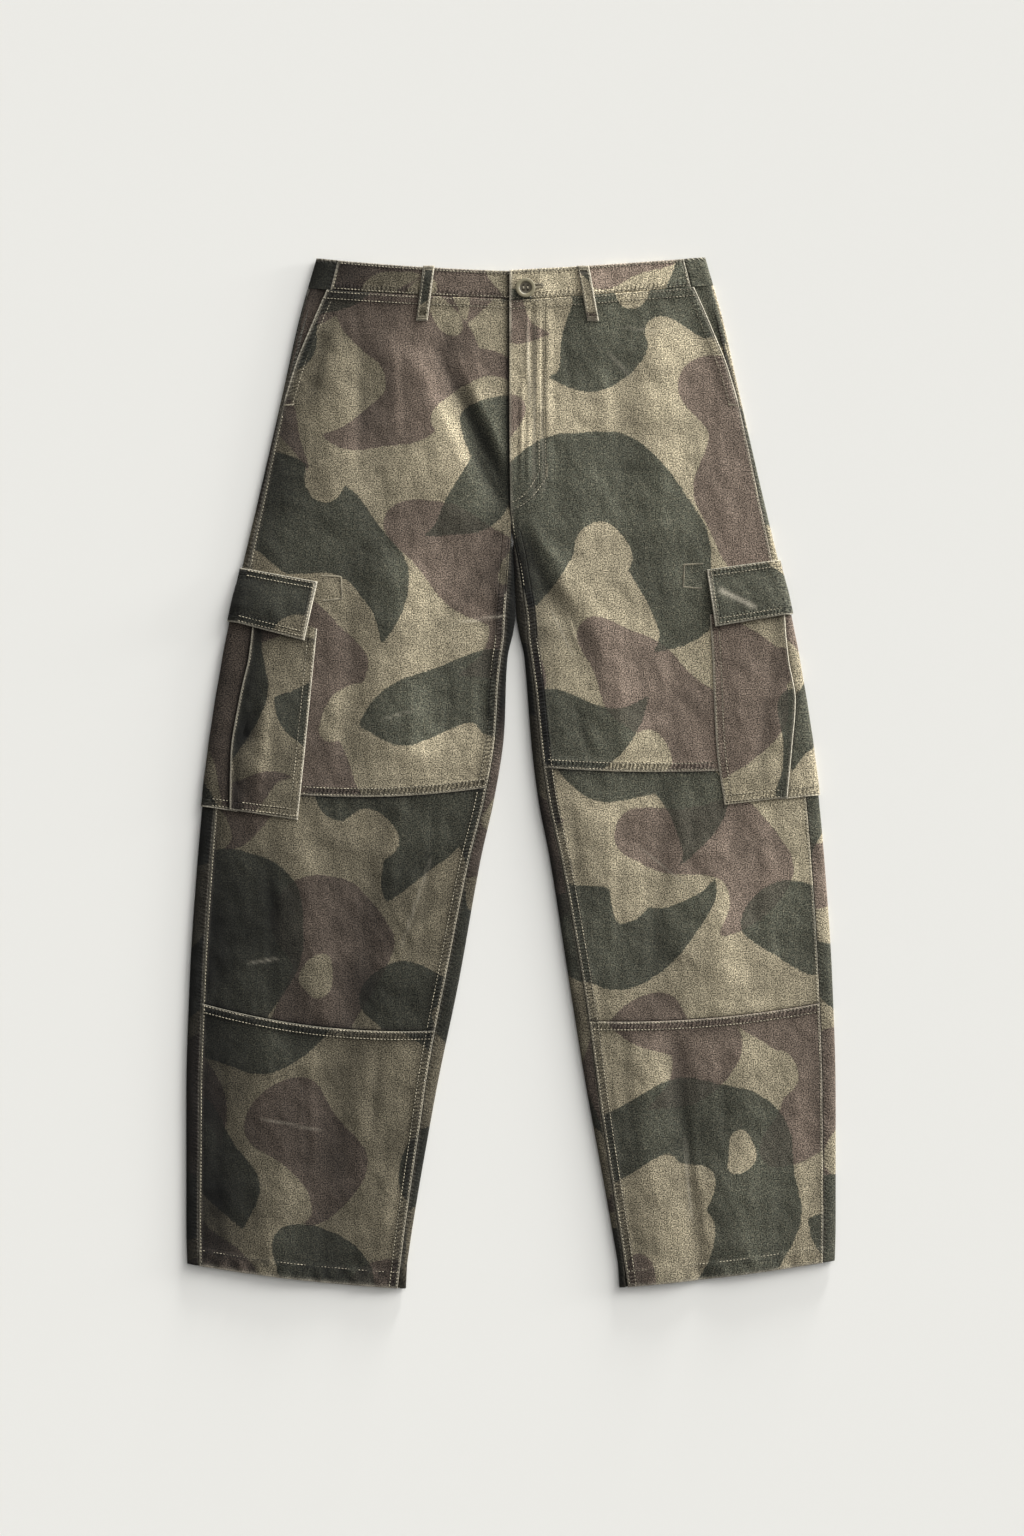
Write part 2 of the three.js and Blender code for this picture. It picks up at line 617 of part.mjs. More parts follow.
// Lines around the outer fold: from a distance over the top, round the tip and underneath.
function roundTheFold(over, overSteps, reach) {
  const lines = [];
  for (let i = 0; i < overSteps; i += 1) lines.push(mix(over, QUARTER, i / overSteps));
  lines.push(...roll);
  for (const share of [0.5, 1]) lines.push(-QUARTER - reach * share);
  return lines;
}

// The rear half, from under the pleat and the flap's edge round the side of the leg.
function pocketRear(side) {
  const { flap, pocket, pocketBottom } = side;
  const steps = 3;
  const columns = Array.from({ length: steps + roll.length + 2 }, (_, i) => ({ i }));
  const face = ({ i }, row, outside) => {
    const roughly = mix(flap.bottom[0], pocketBottom[0], row.share);
    const under = outerFold(roughly) - read(pocket, "pleat", roughly) + PLEAT.tuck;
    const around = roundTheFold(Math.max(aroundTo(under), QUARTER + 1.5), steps, POCKET_UNDER.reach)[i];
    const slope = clamp(around / 90);
    const tucked = 13 * smooth((around - QUARTER) / 4);
    const from = mix(flap.bottom[0], flap.bottom[1], slope) + 1 - tucked;
    const drop = mix(from, mix(pocketBottom[0], pocketBottom[1], slope), row.share);
    const { q, z } = skin(side, "outer", around, drop, outside ? GAP + CLOTH : GAP);
    return place(side, q, drop, z);
  };
  const rows = [line(0), line(0.05), line(0.11), ...evenly(8).slice(1), line(1)];
  wall(`cargo_pocket_rear_${side.name}`, columns, rows, face, CLOTHS.dark);
}

function pocketFlap(side) {
  const { top: high, bottom: low, inner } = side.flap;
  const steps = 6;
  const columns = Array.from({ length: steps + roll.length + 2 }, (_, i) => ({ i }));
  const face = ({ i }, row, outside) => {
    const roughly = mix(high[0], low[0], row.share);
    const over = aroundTo(outerFold(roughly) - mix(...inner, row.share));
    const around = roundTheFold(over, steps, POCKET_UNDER.reach)[i];
    const share = clamp(around / over);
    const drop = mix(mix(high[0], high[1], share), mix(low[0], low[1], share), row.share);
    const standing = FLAP_STAND * smooth(row.share * 1.45) * smooth((around + 3) / 9);
    const { q, z } = skin(side, "outer", around, drop, GAP + standing + (outside ? FLAP : 0));
    return place(side, q, drop, z);
  };
  const rows = [line(0), line(0.16), line(0.35), line(0.55), line(0.72), line(0.86), line(1)];
  wall(`cargo_flap_${side.name}`, columns, rows, face, CLOTHS.brown);
}

// A mesh as a manifold solid, and back again.
function solid(geometry) {
  for (const name of ["normal", "uv"]) geometry.deleteAttribute(name);
  const merged = mergeVertices(geometry, 1e-4);
  const vertProperties = new Float32Array(merged.attributes.position.array);
  return new wasm.Manifold(
    new wasm.Mesh({ numProp: 3, vertProperties, triVerts: new Uint32Array(merged.index.array) }),
  );
}

function geometryOf(manifold) {
  const { vertProperties, triVerts } = manifold.getMesh();
  const geometry = new THREE.BufferGeometry();
  geometry.setAttribute("position", new THREE.BufferAttribute(vertProperties, 3));
  geometry.setIndex(new THREE.BufferAttribute(triVerts, 1));
  return geometry;
}

// A four-hole button with a raised rim round a dished face.
function button() {
  const { radius, thick, hole, spacing } = BUTTON;
  const profile = [
    [0, 0],
    [radius - 1.2, 0],
    [radius, 1],
    [radius, thick - 0.9],
    [radius - 0.8, thick],
    [radius - 2, thick],
    [radius - 3.2, thick - 1],
    [0, thick - 1],
  ].map(([r, z]) => new THREE.Vector2(r, z));
  let body = solid(new THREE.LatheGeometry(profile, 28).rotateX(Math.PI / 2));
  for (const sx of [-1, 1])
    for (const sy of [-1, 1]) {
      const drill = new THREE.CylinderGeometry(hole, hole, 3 * thick, 10).rotateX(Math.PI / 2);
      body = body.subtract(solid(drill.translate(sx * spacing, sy * spacing, 0)));
    }
  const left = SIDES[1];
  let seat = 0;
  for (let turn = 0; turn < 2 * Math.PI; turn += Math.PI / 8) {
    const [x, drop] = [BUTTON.x + radius * Math.cos(turn), BUTTON.drop + radius * Math.sin(turn)];
    seat = Math.max(seat, top(left, x, drop) + lapProud(left, x));
  }
  const made = geometryOf(body);
  made.translate(BUTTON.x - SHIFT.x, SHIFT.drop - BUTTON.drop, seat + GAP);
  addMesh("waist_button", made, HORN);
}

for (const side of SIDES) {
  frontPanels(side);
  backPanel(side);
  pocketFacing(side);
  frontBand(side);
  frontLoop(side);
  pocketFront(side);
  pocketRear(side);
  pocketFlap(side);
}
backBand();
BACK_LOOPS.forEach(backLoop);
button();

export default group;
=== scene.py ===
"""Cargo pants laid flat on a pale floor, fly side up, in washed camouflage twill.

Sizes are worked out in millimetres, as x across, `drop` below the waist's highest point and z up,
and are turned to metres where a mesh is made. Right and left are the wearer's. A side's q is the
distance outwards from x = 0, so it is x on the left and -x on the right.
"""

import math
from functools import reduce
from types import SimpleNamespace

import bmesh
import bpy
import numpy as np
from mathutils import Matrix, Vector
from mathutils.bvhtree import BVHTree

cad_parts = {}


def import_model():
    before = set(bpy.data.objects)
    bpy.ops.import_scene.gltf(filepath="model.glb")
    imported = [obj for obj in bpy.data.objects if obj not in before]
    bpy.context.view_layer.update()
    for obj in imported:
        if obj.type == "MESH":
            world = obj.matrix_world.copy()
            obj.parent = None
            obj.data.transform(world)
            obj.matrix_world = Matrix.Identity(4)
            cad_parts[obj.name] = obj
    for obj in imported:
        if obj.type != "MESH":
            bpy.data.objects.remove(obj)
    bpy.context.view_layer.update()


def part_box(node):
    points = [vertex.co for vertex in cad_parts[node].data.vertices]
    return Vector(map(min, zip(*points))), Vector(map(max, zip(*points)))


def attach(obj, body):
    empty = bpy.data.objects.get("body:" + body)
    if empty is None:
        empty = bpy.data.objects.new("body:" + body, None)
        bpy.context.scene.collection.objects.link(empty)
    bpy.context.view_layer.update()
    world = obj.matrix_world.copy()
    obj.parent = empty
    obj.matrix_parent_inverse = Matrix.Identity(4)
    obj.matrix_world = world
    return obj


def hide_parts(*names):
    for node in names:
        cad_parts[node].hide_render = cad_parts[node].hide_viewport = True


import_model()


def table(columns, *rows):
    """A short table as a list of dictionaries, one for each row."""
    return [dict(zip(columns.split(), row)) for row in rows]


# Cloth thicknesses and clearances, as in the part's source.
CLOTH, FACING, BAND, FLAP, LOOP, GAP = 1.2, 0.8, 1.8, 2.0, 1.2, 0.3
# The backs stop this much short of the fronts at the outseam and inseam.
SEAM = 0.45
# A fold of the leg takes up ROLL mm of its width, and QUARTER mm of cloth go round from its tip to
# the top, and as many to the underside.
ROLL, QUARTER = 8.0, 9.0
# Edges that are turned under or sewn over an allowance, and how far they stand proud.
ALLOWANCE = {"wide": 9.0, "proud": 0.8}
HEM = {"wide": 15.0, "proud": 0.9}
# How much of a ridge the underside of the top cloth follows; it follows a hollow all the way.
RIDGE_SHARE = 0.3
WAIST_Y = 515.0

# Half of the garment's outline by drop: the outer fold, the inner fold of the leg and how far the
# middle wanders to the wearer's left.
OUTLINE = table(
    "drop outer inner middle",
    (0, 194, 0, -2),
    (60, 211, 0, -2),
    (140, 229, 0, -2),
    (240, 252, 0, -1),
    (312, 269, 0, 3),
    (345, 276, 0.2, 4.4),
    (358, 278.7, 0.4, 4.8),
    (374, 282, 2.7, 5),
    (400, 287, 8.4, 5),
    (480, 300, 13.5, 6.3),
    (540, 307.5, 21.8, 5.2),
    (600, 313, 34.3, 4.3),
    (720, 321, 54.5, 3),
    (840, 324.5, 76.6, 0.5),
    (960, 324.5, 98, 1),
    (1035, 322.5, 110, 2),
)
HEIGHTS = table(
    "drop height",
    (0, 6.2),
    (60, 6.0),
    (300, 5.9),
    (640, 5.7),
    (1035, 5.2),
)
# How far the fronts' edges lie inside the outer fold and inside the inner one.
EDGES = table(
    "drop outseam inseam",
    (30, 20, 0.15),
    (70, 13, 0.15),
    (110, 6, 0.15),
    (150, 3.2, 0.15),
    (262, 5.2, 0.15),
    (302, 6.5, 4.6),
    (332, 9.1, 7.8),
    (360, 9.9, 10.2),
    (396, 10.9, 6.6),
    (440, 11.6, 8.4),
    (540, 13, 10),
    (740, 14, 14),
    (900, 13, 9),
    (1035, 12, 6),
)
# Each side's own places. A seam across the leg has its drop at the outer fold, half way and at the
# inner fold; a flap has its drops at the outer fold and at its inner edge.
RIGHT = {
    "name": "right",
    "sign": -1,
    "waist_top": (1, 9, 13.7),
    "waist_seam": (31, 37.5, 41.5),
    "knee_top": (524, 539, 528),
    "knee_bottom": (741, 768, 771),
    "hem": (1005, 1021, 1030),
    "flap_top": (310, 324),
    "flap_bottom": (363, 383),
    "flap_inner": (190, 202),
    "pocket_bottom": (548, 562),
    "pocket": table(
        "drop inner pleat",
        (360, 192.5, 257),
        (400, 196.5, 262),
        (440, 200.5, 271),
        (500, 206.5, 280),
        (562, 213, 281),
    ),
    "loop_x": (-82, -89),
    "loop_drop": (8.5, 63.5),
}
LEFT = {
    "name": "left",
    "sign": 1,
    "waist_top": (0, 7, 13),
    "waist_seam": (28, 36, 43),
    "knee_top": (506, 514, 509),
    "knee_bottom": (742, 760, 762),
    "hem": (1002, 1018, 1029),
    "flap_top": (302, 312),
    "flap_bottom": (356, 369),
    "flap_inner": (193, 201),
    "pocket_bottom": (537, 547),
    "pocket": table(
        "drop inner pleat",
        (350, 198, 272),
        (400, 201, 277),
        (443, 202.6, 284),
        (489, 205, 280.5),
        (547, 213, 275),
    ),
    "loop_x": (72, 82),
    "loop_drop": (8.5, 64),
}
SIDES = (RIGHT, LEFT)

# The largest folds, as in the part's source.
FOLDS = table(
    "x drop wide height",
    ((-62, -14), (100, 232), 16, -1.3),
    ((-92, -40), (110, 250), 20, 2.2),
    ((-136, -130), (110, 255), 17, -1.3),
    ((-172, -168), (115, 255), 20, 1.8),
    ((-155, -160), (330, 500), 15, -1.3),
    ((-105, -95), (330, 495), 24, 1.9),
    ((112, 120), (115, 300), 18, -1.3),
    ((150, 158), (90, 265), 20, 1.8),
    ((40, 84), (335, 430), 13, -1.4),
    ((75, 120), (335, 475), 20, 1.8),
    ((-205, -190), (605, 750), 20, 1.6),
    ((-130, -150), (565, 760), 18, -1.4),
    ((150, 148), (540, 750), 15, -1.5),
    ((205, 218), (595, 740), 20, 1.7),
    ((-235, -228), (790, 1010), 24, 1.6),
    ((-165, -172), (800, 1015), 19, -1.3),
    ((165, 190), (790, 1018), 12, -1.9),
    ((138, 152), (800, 1018), 20, 1.6),
    ((232, 240), (800, 1005), 24, 1.5),
)

# Finer creases that tail off at both ends: drag lines from the crotch and the fly, tucks that
# start at the seams, and the press lines of a washed leg.
CREASES = table(
    "x drop wide height",
    ((-72, -6), (96, 230), 6, -1.2),
    ((-58, 0), (92, 214), 5, 0.9),
    ((-44, -4), (84, 196), 6, 0.8),
    ((-82, -26), (128, 248), 8, 0.7),
    ((-40, -8), (190, 246), 4, -0.6),
    ((10, 44), (268, 352), 7, -0.7),
    ((16, 66), (262, 330), 6, 0.6),
    ((-8, -52), (270, 330), 6, -0.6),
    ((-70, -20), (60, 205), 5, -0.5),
    ((-48, -12), (95, 190), 4, 0.45),
    ((-30, -9), (150, 232), 4, -0.45),
    ((-150, -148), (60, 220), 6, -0.5),
    ((-118, -112), (70, 180), 5, 0.4),
    ((-180, -205), (60, 170), 6, -0.5),
    ((-14, -60), (285, 330), 5, 0.4),
    ((-8, -95), (300, 395), 6, -0.4),
    ((-55, -6), (366, 358), 2.2, 0.35),
    ((-170, -180), (400, 512), 6, 0.45),
    ((-60, -70), (430, 528), 5, -0.4),
    ((-35, -40), (360, 515), 6, 0.45),
    ((16.5, 16), (50, 130), 1.9, 0.55),
    ((21, 22), (46, 150), 2.3, -0.6),
    ((27.5, 27), (46, 170), 2.2, 0.6),
    ((32, 31), (58, 205), 1.8, -0.4),
    ((12, 10), (110, 220), 2.2, 0.5),
    ((7, 7), (130, 238), 2.2, -0.4),
    ((18, 16.5), (150, 240), 2.3, 0.45),
    ((23, 22), (160, 236), 2.0, -0.4),
    ((2, 14), (205, 178), 2.0, 0.35),
    ((52, 60), (52, 150), 5, -0.35),
    ((90, 100), (80, 240), 7, 0.4),
    ((180, 214), (60, 150), 6, -0.4),
    ((30, 62), (285, 345), 5, 0.35),
    ((55, 70), (355, 395), 2.6, 0.4),
    ((20, 100), (300, 420), 7, -0.4),
    ((62, 80), (440, 505), 5, -0.4),
    ((110, 112), (430, 508), 6, 0.4),
    ((165, 160), (400, 508), 7, -0.4),
    ((-240, -236), (590, 735), 7, -0.4),
    ((-110, -120), (545, 640), 6, 0.4),
    ((-75, -90), (540, 700), 5, -0.4),
    ((-55, -110), (640, 690), 5, 0.35),
    ((60, 68), (520, 640), 6, -0.35),
    ((95, 102), (520, 740), 7, 0.4),
    ((185, 180), (520, 620), 6, -0.35),
    ((252, 262), (560, 735), 7, 0.35),
    ((-290, -292), (790, 1000), 7, -0.35),
    ((-200, -196), (780, 900), 6, 0.4),
    ((-130, -140), (785, 880), 6, -0.35),
    ((-110, -130), (880, 1010), 7, 0.35),
    ((176, 197), (820, 1000), 4, 0.5),
    ((110, 124), (775, 900), 6, -0.4),
    ((215, 214), (775, 880), 6, -0.35),
    ((286, 290), (800, 990), 7, 0.35),
)

FLY = {"wide": 38.0, "drop": 253.0, "curve": 31.0, "soft": 8.0, "proud": 1.5}
# Below this drop the inseams of the two fronts are clear of each other.
FORK = 330
UNDERLAP = {"wide": 10.0, "sink": 0.8, "soft": 14.0, "from": 205.0, "to": 230.0}
LAP = {"wide": 28.0, "soft": 32.0, "underlap": 25.0, "proud": BAND + GAP}
BUTTON = {"x": 14.5, "drop": 31.0, "radius": 9.75, "thick": 3.0, "hole": 1.1, "spacing": 2.1}
STRAP = {"wide": 11.5, "clear": 2.2, "thick": LOOP}
LOOP_LIFT = {"rise": LOOP + GAP, "from": 72.0, "soft": 46.0}
POCKET_UNDER = {"reach": 30.0, "clear": 5.0, "soft": 20.0, "ends": 12.0}
HAND_POCKET = {"bottom": 150.0, "under": 13.0, "seam": 2.0}
POCKET_FULL = 1.2
PLEAT = {"tuck": 8.0, "fold": 0.5}
FLAP_STAND = 2 * (CLOTH + GAP) + PLEAT["fold"]
CROTCH = {"parts": (235.0, 325.0), "curl": (256.0, 292.0)}

# Spacing of the cloth meshes' points, and the closer ones that round an edge.
STEP = 2.5
EDGE_LINES = (0.0, 0.25, 0.7, 1.4, 2.3)


def clamp(t):
    return np.clip(t, 0.0, 1.0)


def smooth(t):
    t = clamp(t)
    return t * t * (3 - 2 * t)


def mix(a, b, t):
    return a + (b - a) * t


def read(rows, column, drop):
    """A column of a table at any drop: a smooth curve that never overshoots the rows."""
    drops = np.array([row["drop"] for row in rows], float)
    values = np.array([row[column] for row in rows], float)
    slopes = np.diff(values) / np.diff(drops)
    tangents = np.concatenate([slopes[:1], slopes[1:], slopes[-1:]])
    for i in range(1, len(values) - 1):
        above, below = slopes[i - 1], slopes[i]
        tangents[i] = 0.0 if above * below <= 0 else 2 * above * below / (above + below)
    drop = np.asarray(drop, float)
    i = np.clip(np.searchsorted(drops, drop, side="left") - 1, 0, len(values) - 2)
    span = drops[i + 1] - drops[i]
    t = (drop - drops[i]) / span
    along = (1 + 2 * t) * (1 - t) ** 2 * values[i] + t * t * (3 - 2 * t) * values[i + 1]
    return along + (t * (1 - t) ** 2 * tangents[i] - t * t * (1 - t) * tangents[i + 1]) * span


def across(seam, share):
    """A seam's drop at a share of the way from the outer fold to the inner one."""
    outer, half, inner = seam
    return mix(outer, inner, share) + (4 * half - 2 * outer - 2 * inner) * share * (1 - share)


def outer_fold(drop):
    return read(OUTLINE, "outer", drop)


def middle(side, drop):
    """The garment's middle, which wanders a little, as q."""
    return side["sign"] * read(OUTLINE, "middle", drop)


def inner_fold(side, drop):
    return read(OUTLINE, "inner", drop) + middle(side, drop)


def height_at(drop):
    return read(HEIGHTS, "height", drop)


def past(place, start, soft):
    """0 up to a place, then a soft rise to 1 over the next `soft` mm."""
    return smooth((place - start) / soft)


def near(distance, reach):
    """1 at a place, falling away from it over about `reach` mm."""
    return np.exp(-distance / reach)


def least(*distances):
    """The smallest of several distances at each point."""
    return reduce(np.minimum, distances)


def most(*amounts):
    """The largest of several amounts at each point."""
    return reduce(np.maximum, amounts)


def before(place, end, soft):
    """1 until `soft` mm before a place, then a soft fall to 0 at it."""
    return smooth((end - place) / soft)


def within(drop, start, end, soft):
    """1 between two drops, with straight ramps outside them."""
    return np.minimum(clamp((drop - start + soft) / soft), clamp((end + soft - drop) / soft))


def lift(side, inset, drop):
    """How far the underside is off the table, `inset` mm inside the outer fold."""
    reach, clear = POCKET_UNDER["reach"], POCKET_UNDER["clear"]
    soft, ends = POCKET_UNDER["soft"], POCKET_UNDER["ends"]
    loops = LOOP_LIFT["rise"] * (1 - clamp((drop - LOOP_LIFT["from"]) / LOOP_LIFT["soft"]))
    beside = 1 - clamp((inset - ROLL - reach - clear) / soft)
    flap = within(drop, side["flap_top"][0] - clear, side["flap_bottom"][0] + clear, ends)
    pocket = within(drop, side["flap_bottom"][0], side["pocket_bottom"][0] + clear, ends)
    under = np.maximum((FLAP + GAP) * flap, (CLOTH + GAP) * pocket)
    return np.maximum(loops, beside * under)


def rounded(distance):
    """0 at a fold's tip and 1 from ROLL mm inside it, on a quarter circle."""
    return np.sqrt(1 - (1 - clamp(distance / ROLL)) ** 2)


def ridge(line, x, drop):
    """How far along a line each point is, and the height there of the soft ridge over it."""
    (x0, x1), (d0, d1) = line["x"], line["drop"]
    dx, dd = x1 - x0, d1 - d0
    held = clamp(((x - x0) * dx + (drop - d0) * dd) / (dx * dx + dd * dd))
    away = np.hypot(x - x0 - held * dx, drop - d0 - held * dd)
    return held, line["height"] * np.exp(-((away / line["wide"]) ** 2))


def folds(x, drop):
    return sum(ridge(line, x, drop)[1] for line in FOLDS)


def creases(x, drop):
    """Finer creases, deepest part way along and gone at the ends."""
    total = 0.0
    for line in CREASES:
        held, bump = ridge(line, x, drop)
        total = total + 1.7 * bump * np.sin(np.pi * clamp(held * 0.94 + 0.03)) ** 0.7
    return total


def ripples(u, v, wavelength, seed, count=14):
    """Soft unevenness of about one wavelength, within -1 to 1."""
    rng = np.random.RandomState(seed)
    total = np.zeros(np.broadcast(u, v).shape)
    for _ in range(count):
        turn, phase = rng.uniform(0, 2 * math.pi, 2)
        wave = 2 * math.pi / (wavelength * rng.uniform(0.7, 1.5))
        total += np.sin(wave * (u * math.cos(turn) + v * math.sin(turn)) + phase)
    return total / count**0.5 / 1.5


def parted(drop):
    """0 where the legs are one, 1 where each has its own inner fold."""
    start, end = CROTCH["parts"]
    return smooth((drop - start) / (end - start))


def top_cloth(side, q, drop):
    """Outer and inner face of the top cloth, q mm from the middle on this side."""
    height = height_at(drop)
    out, inn = outer_fold(drop) - q, q - inner_fold(side, drop)
    split = parted(drop)
    out_dip = (height - lift(side, 0.0, drop)) / 2 * (1 - rounded(out))
    inn_dip = height / 2 * split * (1 - rounded(inn))
    calm = smooth((out - ROLL) / 25) * mix(1.0, smooth((inn - ROLL) / 25), split)
    x = side["sign"] * q
    relief = folds(x, drop) * calm
    soft = smooth((out - 4) / 16) * mix(1.0, smooth((inn - 4) / 16), split)
    fine = (creases(x, drop) + 0.2 * ripples(x, drop, 60, 3) + 0.12 * ripples(x, drop, 24, 4)) * soft
    plain = height - out_dip - inn_dip
    under = plain + np.where(relief > 0, RIDGE_SHARE * relief, relief) - CLOTH
    return plain + relief + fine, under + np.minimum(fine, 0)


def skin(side, fold, around, drop, off):
    """A point on the tube of cloth, `around` mm from a fold's tip, positive over the top."""
    outer = fold == "outer"
    tip = outer_fold(drop) if outer else inner_fold(side, drop)
    inwards = -1.0 if outer else 1.0
    low = lift(side, 0.0, drop) if outer else np.zeros_like(tip)
    half = (height_at(drop) - low) / 2
    turn = np.clip(around / QUARTER, -1, 1) * (math.pi / 2)
    beyond = np.maximum(np.abs(around) - QUARTER, 0)
    q = tip + inwards * np.where(beyond > 0, ROLL + beyond, ROLL - (ROLL + off) * np.cos(turn))
    rolled = low + half + (half + off) * np.sin(turn)
    over = top_cloth(side, q, drop)[0] + off
    under = (lift(side, ROLL + beyond, drop) if outer else 0.0) - off
    return q, np.where(beyond > 0, np.where(around > 0, over, under), rolled)


def around_to(inset):
    """Distance along the cloth from a fold's tip to a place on top, `inset` mm inside it."""
    held = np.maximum(inset, 0)
    curved = QUARTER * np.arccos(1 - np.minimum(held, ROLL) / ROLL) / (math.pi / 2)
    return np.where(held < ROLL, curved, QUARTER + held - ROLL)


def waist_seam(side, q):
    """The drop of the seam under the waistband."""
    return across(side["waist_seam"], 1 - q / outer_fold(30))


def waist_top(side, q):
    return across(side["waist_top"], 1 - q / outer_fold(5))


def underlap(drop):
    """1 where the right front runs on under the left one's fly."""
    return 1 - smooth((drop - UNDERLAP["from"]) / (UNDERLAP["to"] - UNDERLAP["from"]))


def front_inner(side, drop):
    seam = inner_fold(side, drop) + read(EDGES, "inseam", drop)
    return seam if side is LEFT else seam - UNDERLAP["wide"] * underlap(drop)


def front_outer(drop):
    return outer_fold(drop) - read(EDGES, "outseam", drop)


def fly_end(side, q, drop):
    """The drop at which the fly ends, less towards its outer edge."""
    away = q - middle(side, drop)
    return FLY["drop"] - FLY["curve"] * clamp(away / FLY["wide"]) ** 2


def fly_proud(side, q, drop):
    """How far the left front stands up over the fly, or the right one sinks under it."""
    away = q - middle(side, drop)
    if side is RIGHT:
        return -UNDERLAP["sink"] * underlap(drop) * (1 - smooth(away / UNDERLAP["soft"]))
    sideways = 1 - smooth((away - FLY["wide"]) / FLY["soft"])
    end = fly_end(side, q, drop)
    return FLY["proud"] * sideways * (1 - smooth((drop - end) / FLY["soft"]))


def band_seam(drop):
    """The end of the front waistband at the side."""
    return mix(outer_fold(5) - 23, outer_fold(30) - 20, clamp(drop / 40))


def lap_proud(side, q):
    """How far the left waistband is lifted where it laps over the right one."""
    return 0 * q if side is RIGHT else LAP["proud"] * (1 - smooth((q - LAP["wide"]) / LAP["soft"]))


def turned(distance, edge, step=1.3):
    """How far a turned edge stands proud, `distance` mm inside it."""
    return edge["proud"] * smooth((edge["wide"] + step - distance) / step)


def pocket_inner(side, drop):
    return read(side["pocket"], "inner", drop)


def seam_rise(side, q, drop):
    """1 where a seam's allowance is free to stand proud, 0 under a pocket or the fly's lap."""
    lap = clamp((q - 6) / 16) if side is RIGHT else np.ones_like(q)
    lap = np.where(drop < FLY["drop"], lap, 1.0)
    beside = clamp((pocket_inner(side, drop) - 3 - q) / 6)
    covered = (drop > side["flap_bottom"][0]) & (drop < side["pocket_bottom"][1] + 4)
    return np.where(covered, beside, lap)


def seam_across(side, seam):
    """The drop of a seam across the leg, as a function of q."""
    half = seam[1]
    outer, inner = float(outer_fold(half)), float(inner_fold(side, half))
    return lambda q: across(seam, (outer - q) / (outer - inner))


def leg_seams(side):
    """The seams above and below the knee, and the hem."""
    return [seam_across(side, side[name]) for name in ("knee_top", "knee_bottom", "hem")]


def edge_round(distance, depth=0.55, radius=1.4):
    """How far a cut or folded edge rolls down, `distance` mm inside it."""
    return depth * (1 - np.sqrt(1 - (1 - clamp(distance / radius)) ** 2))


def puckers(along, distance, seed, reach=15.0, size=0.34):
    """The gathered look of cloth beside a washed seam."""
    wave = ripples(along, along * 0, 11, seed, 9)
    slow = ripples(along, distance * 0.3, 26, seed + 1, 9)
    return size * (0.7 * wave + 0.7 * slow) * np.exp(-np.abs(distance) / reach)


# The camouflage, charted for one repeat of the cloth and printed a third larger. A motif is
# a chain of discs (x, y, radius) that run into each other, and a bite shows what is under a motif.
REPEAT = (560.0, 640.0)
CHART_STEP = 2.5
PRINT_SCALE = 1.34
GREEN_MOTIFS = [
    [(52, 62, 34), (92, 46, 38), (134, 66, 40), (150, 112, 30)],
    [(134, 66, 30), (186, 74, 20), (214, 60, 11), (236, 34, 2)],
    [(96, 96, 34), (74, 132, 16), (66, 152, 3)],
    [(318, 84, 2), (334, 52, 18), (372, 30, 30), (414, 36, 34), (450, 66, 26), (462, 104, 4)],
    [(506, 118, 26), (528, 160, 40), (510, 208, 38), (470, 238, 28), (436, 246, 15), (402, 232, 3)],
    [(510, 208, 30), (536, 250, 16), (540, 276, 3)],
    [(76, 222, 26), (118, 250, 42), (172, 244, 44), (222, 262, 30), (246, 298, 18), (238, 334, 4)],
    [(118, 250, 34), (92, 300, 28), (62, 322, 10), (44, 322, 2)],
    [(300, 168, 12), (330, 184, 32), (372, 172, 22), (398, 150, 8), (404, 134, 2)],
    [(330, 184, 26), (318, 226, 24), (290, 252, 9), (270, 256, 2)],
    [(34, 404, 30), (76, 400, 42), (122, 424, 40), (146, 472, 30), (132, 512, 12), (112, 530, 2)],
    [(76, 400, 34), (44, 448, 26), (34, 480, 9)],
    [(240, 396, 8), (272, 384, 28), (322, 372, 30), (366, 396, 42), (384, 446, 34), (360, 492, 22),
     (322, 508, 5)],
    [(486, 344, 24), (520, 384, 44), (500, 438, 40), (452, 462, 26), (424, 452, 6)],
    [(500, 438, 30), (526, 486, 26), (520, 520, 8), (506, 534, 2)],
    [(196, 540, 30), (238, 566, 42), (286, 576, 36), (324, 556, 18), (340, 526, 4)],
    [(238, 566, 34), (216, 612, 26), (184, 624, 9)],
    [(404, 566, 20), (444, 588, 38), (492, 590, 30), (524, 566, 12), (534, 544, 2)],
    [(20, 572, 24), (56, 590, 32), (92, 580, 14), (112, 562, 3)],
]
GREEN_BITES = [
    [(112, 16, 14), (116, 28, 6)],
    [(56, 104, 18), (40, 112, 20)],
    [(386, 92, 30), (404, 102, 28)],
    [(478, 178, 14), (466, 192, 6)],
    [(198, 212, 16), (204, 222, 8)],
    [(146, 296, 20), (172, 306, 14)],
    [(110, 240, 8), (124, 256, 13)],
    [(352, 212, 14), (364, 206, 10)],
    [(92, 452, 20), (84, 470, 16)],
    [(310, 430, 26), (336, 426, 20)],
    [(366, 392, 7), (372, 408, 11)],
    [(540, 430, 15), (534, 440, 8)],
    [(466, 412, 14), (476, 408, 6)],
    [(262, 612, 16), (272, 604, 9)],
    [(256, 560, 8), (272, 572, 12)],
    [(470, 560, 14), (466, 572, 6)],
]
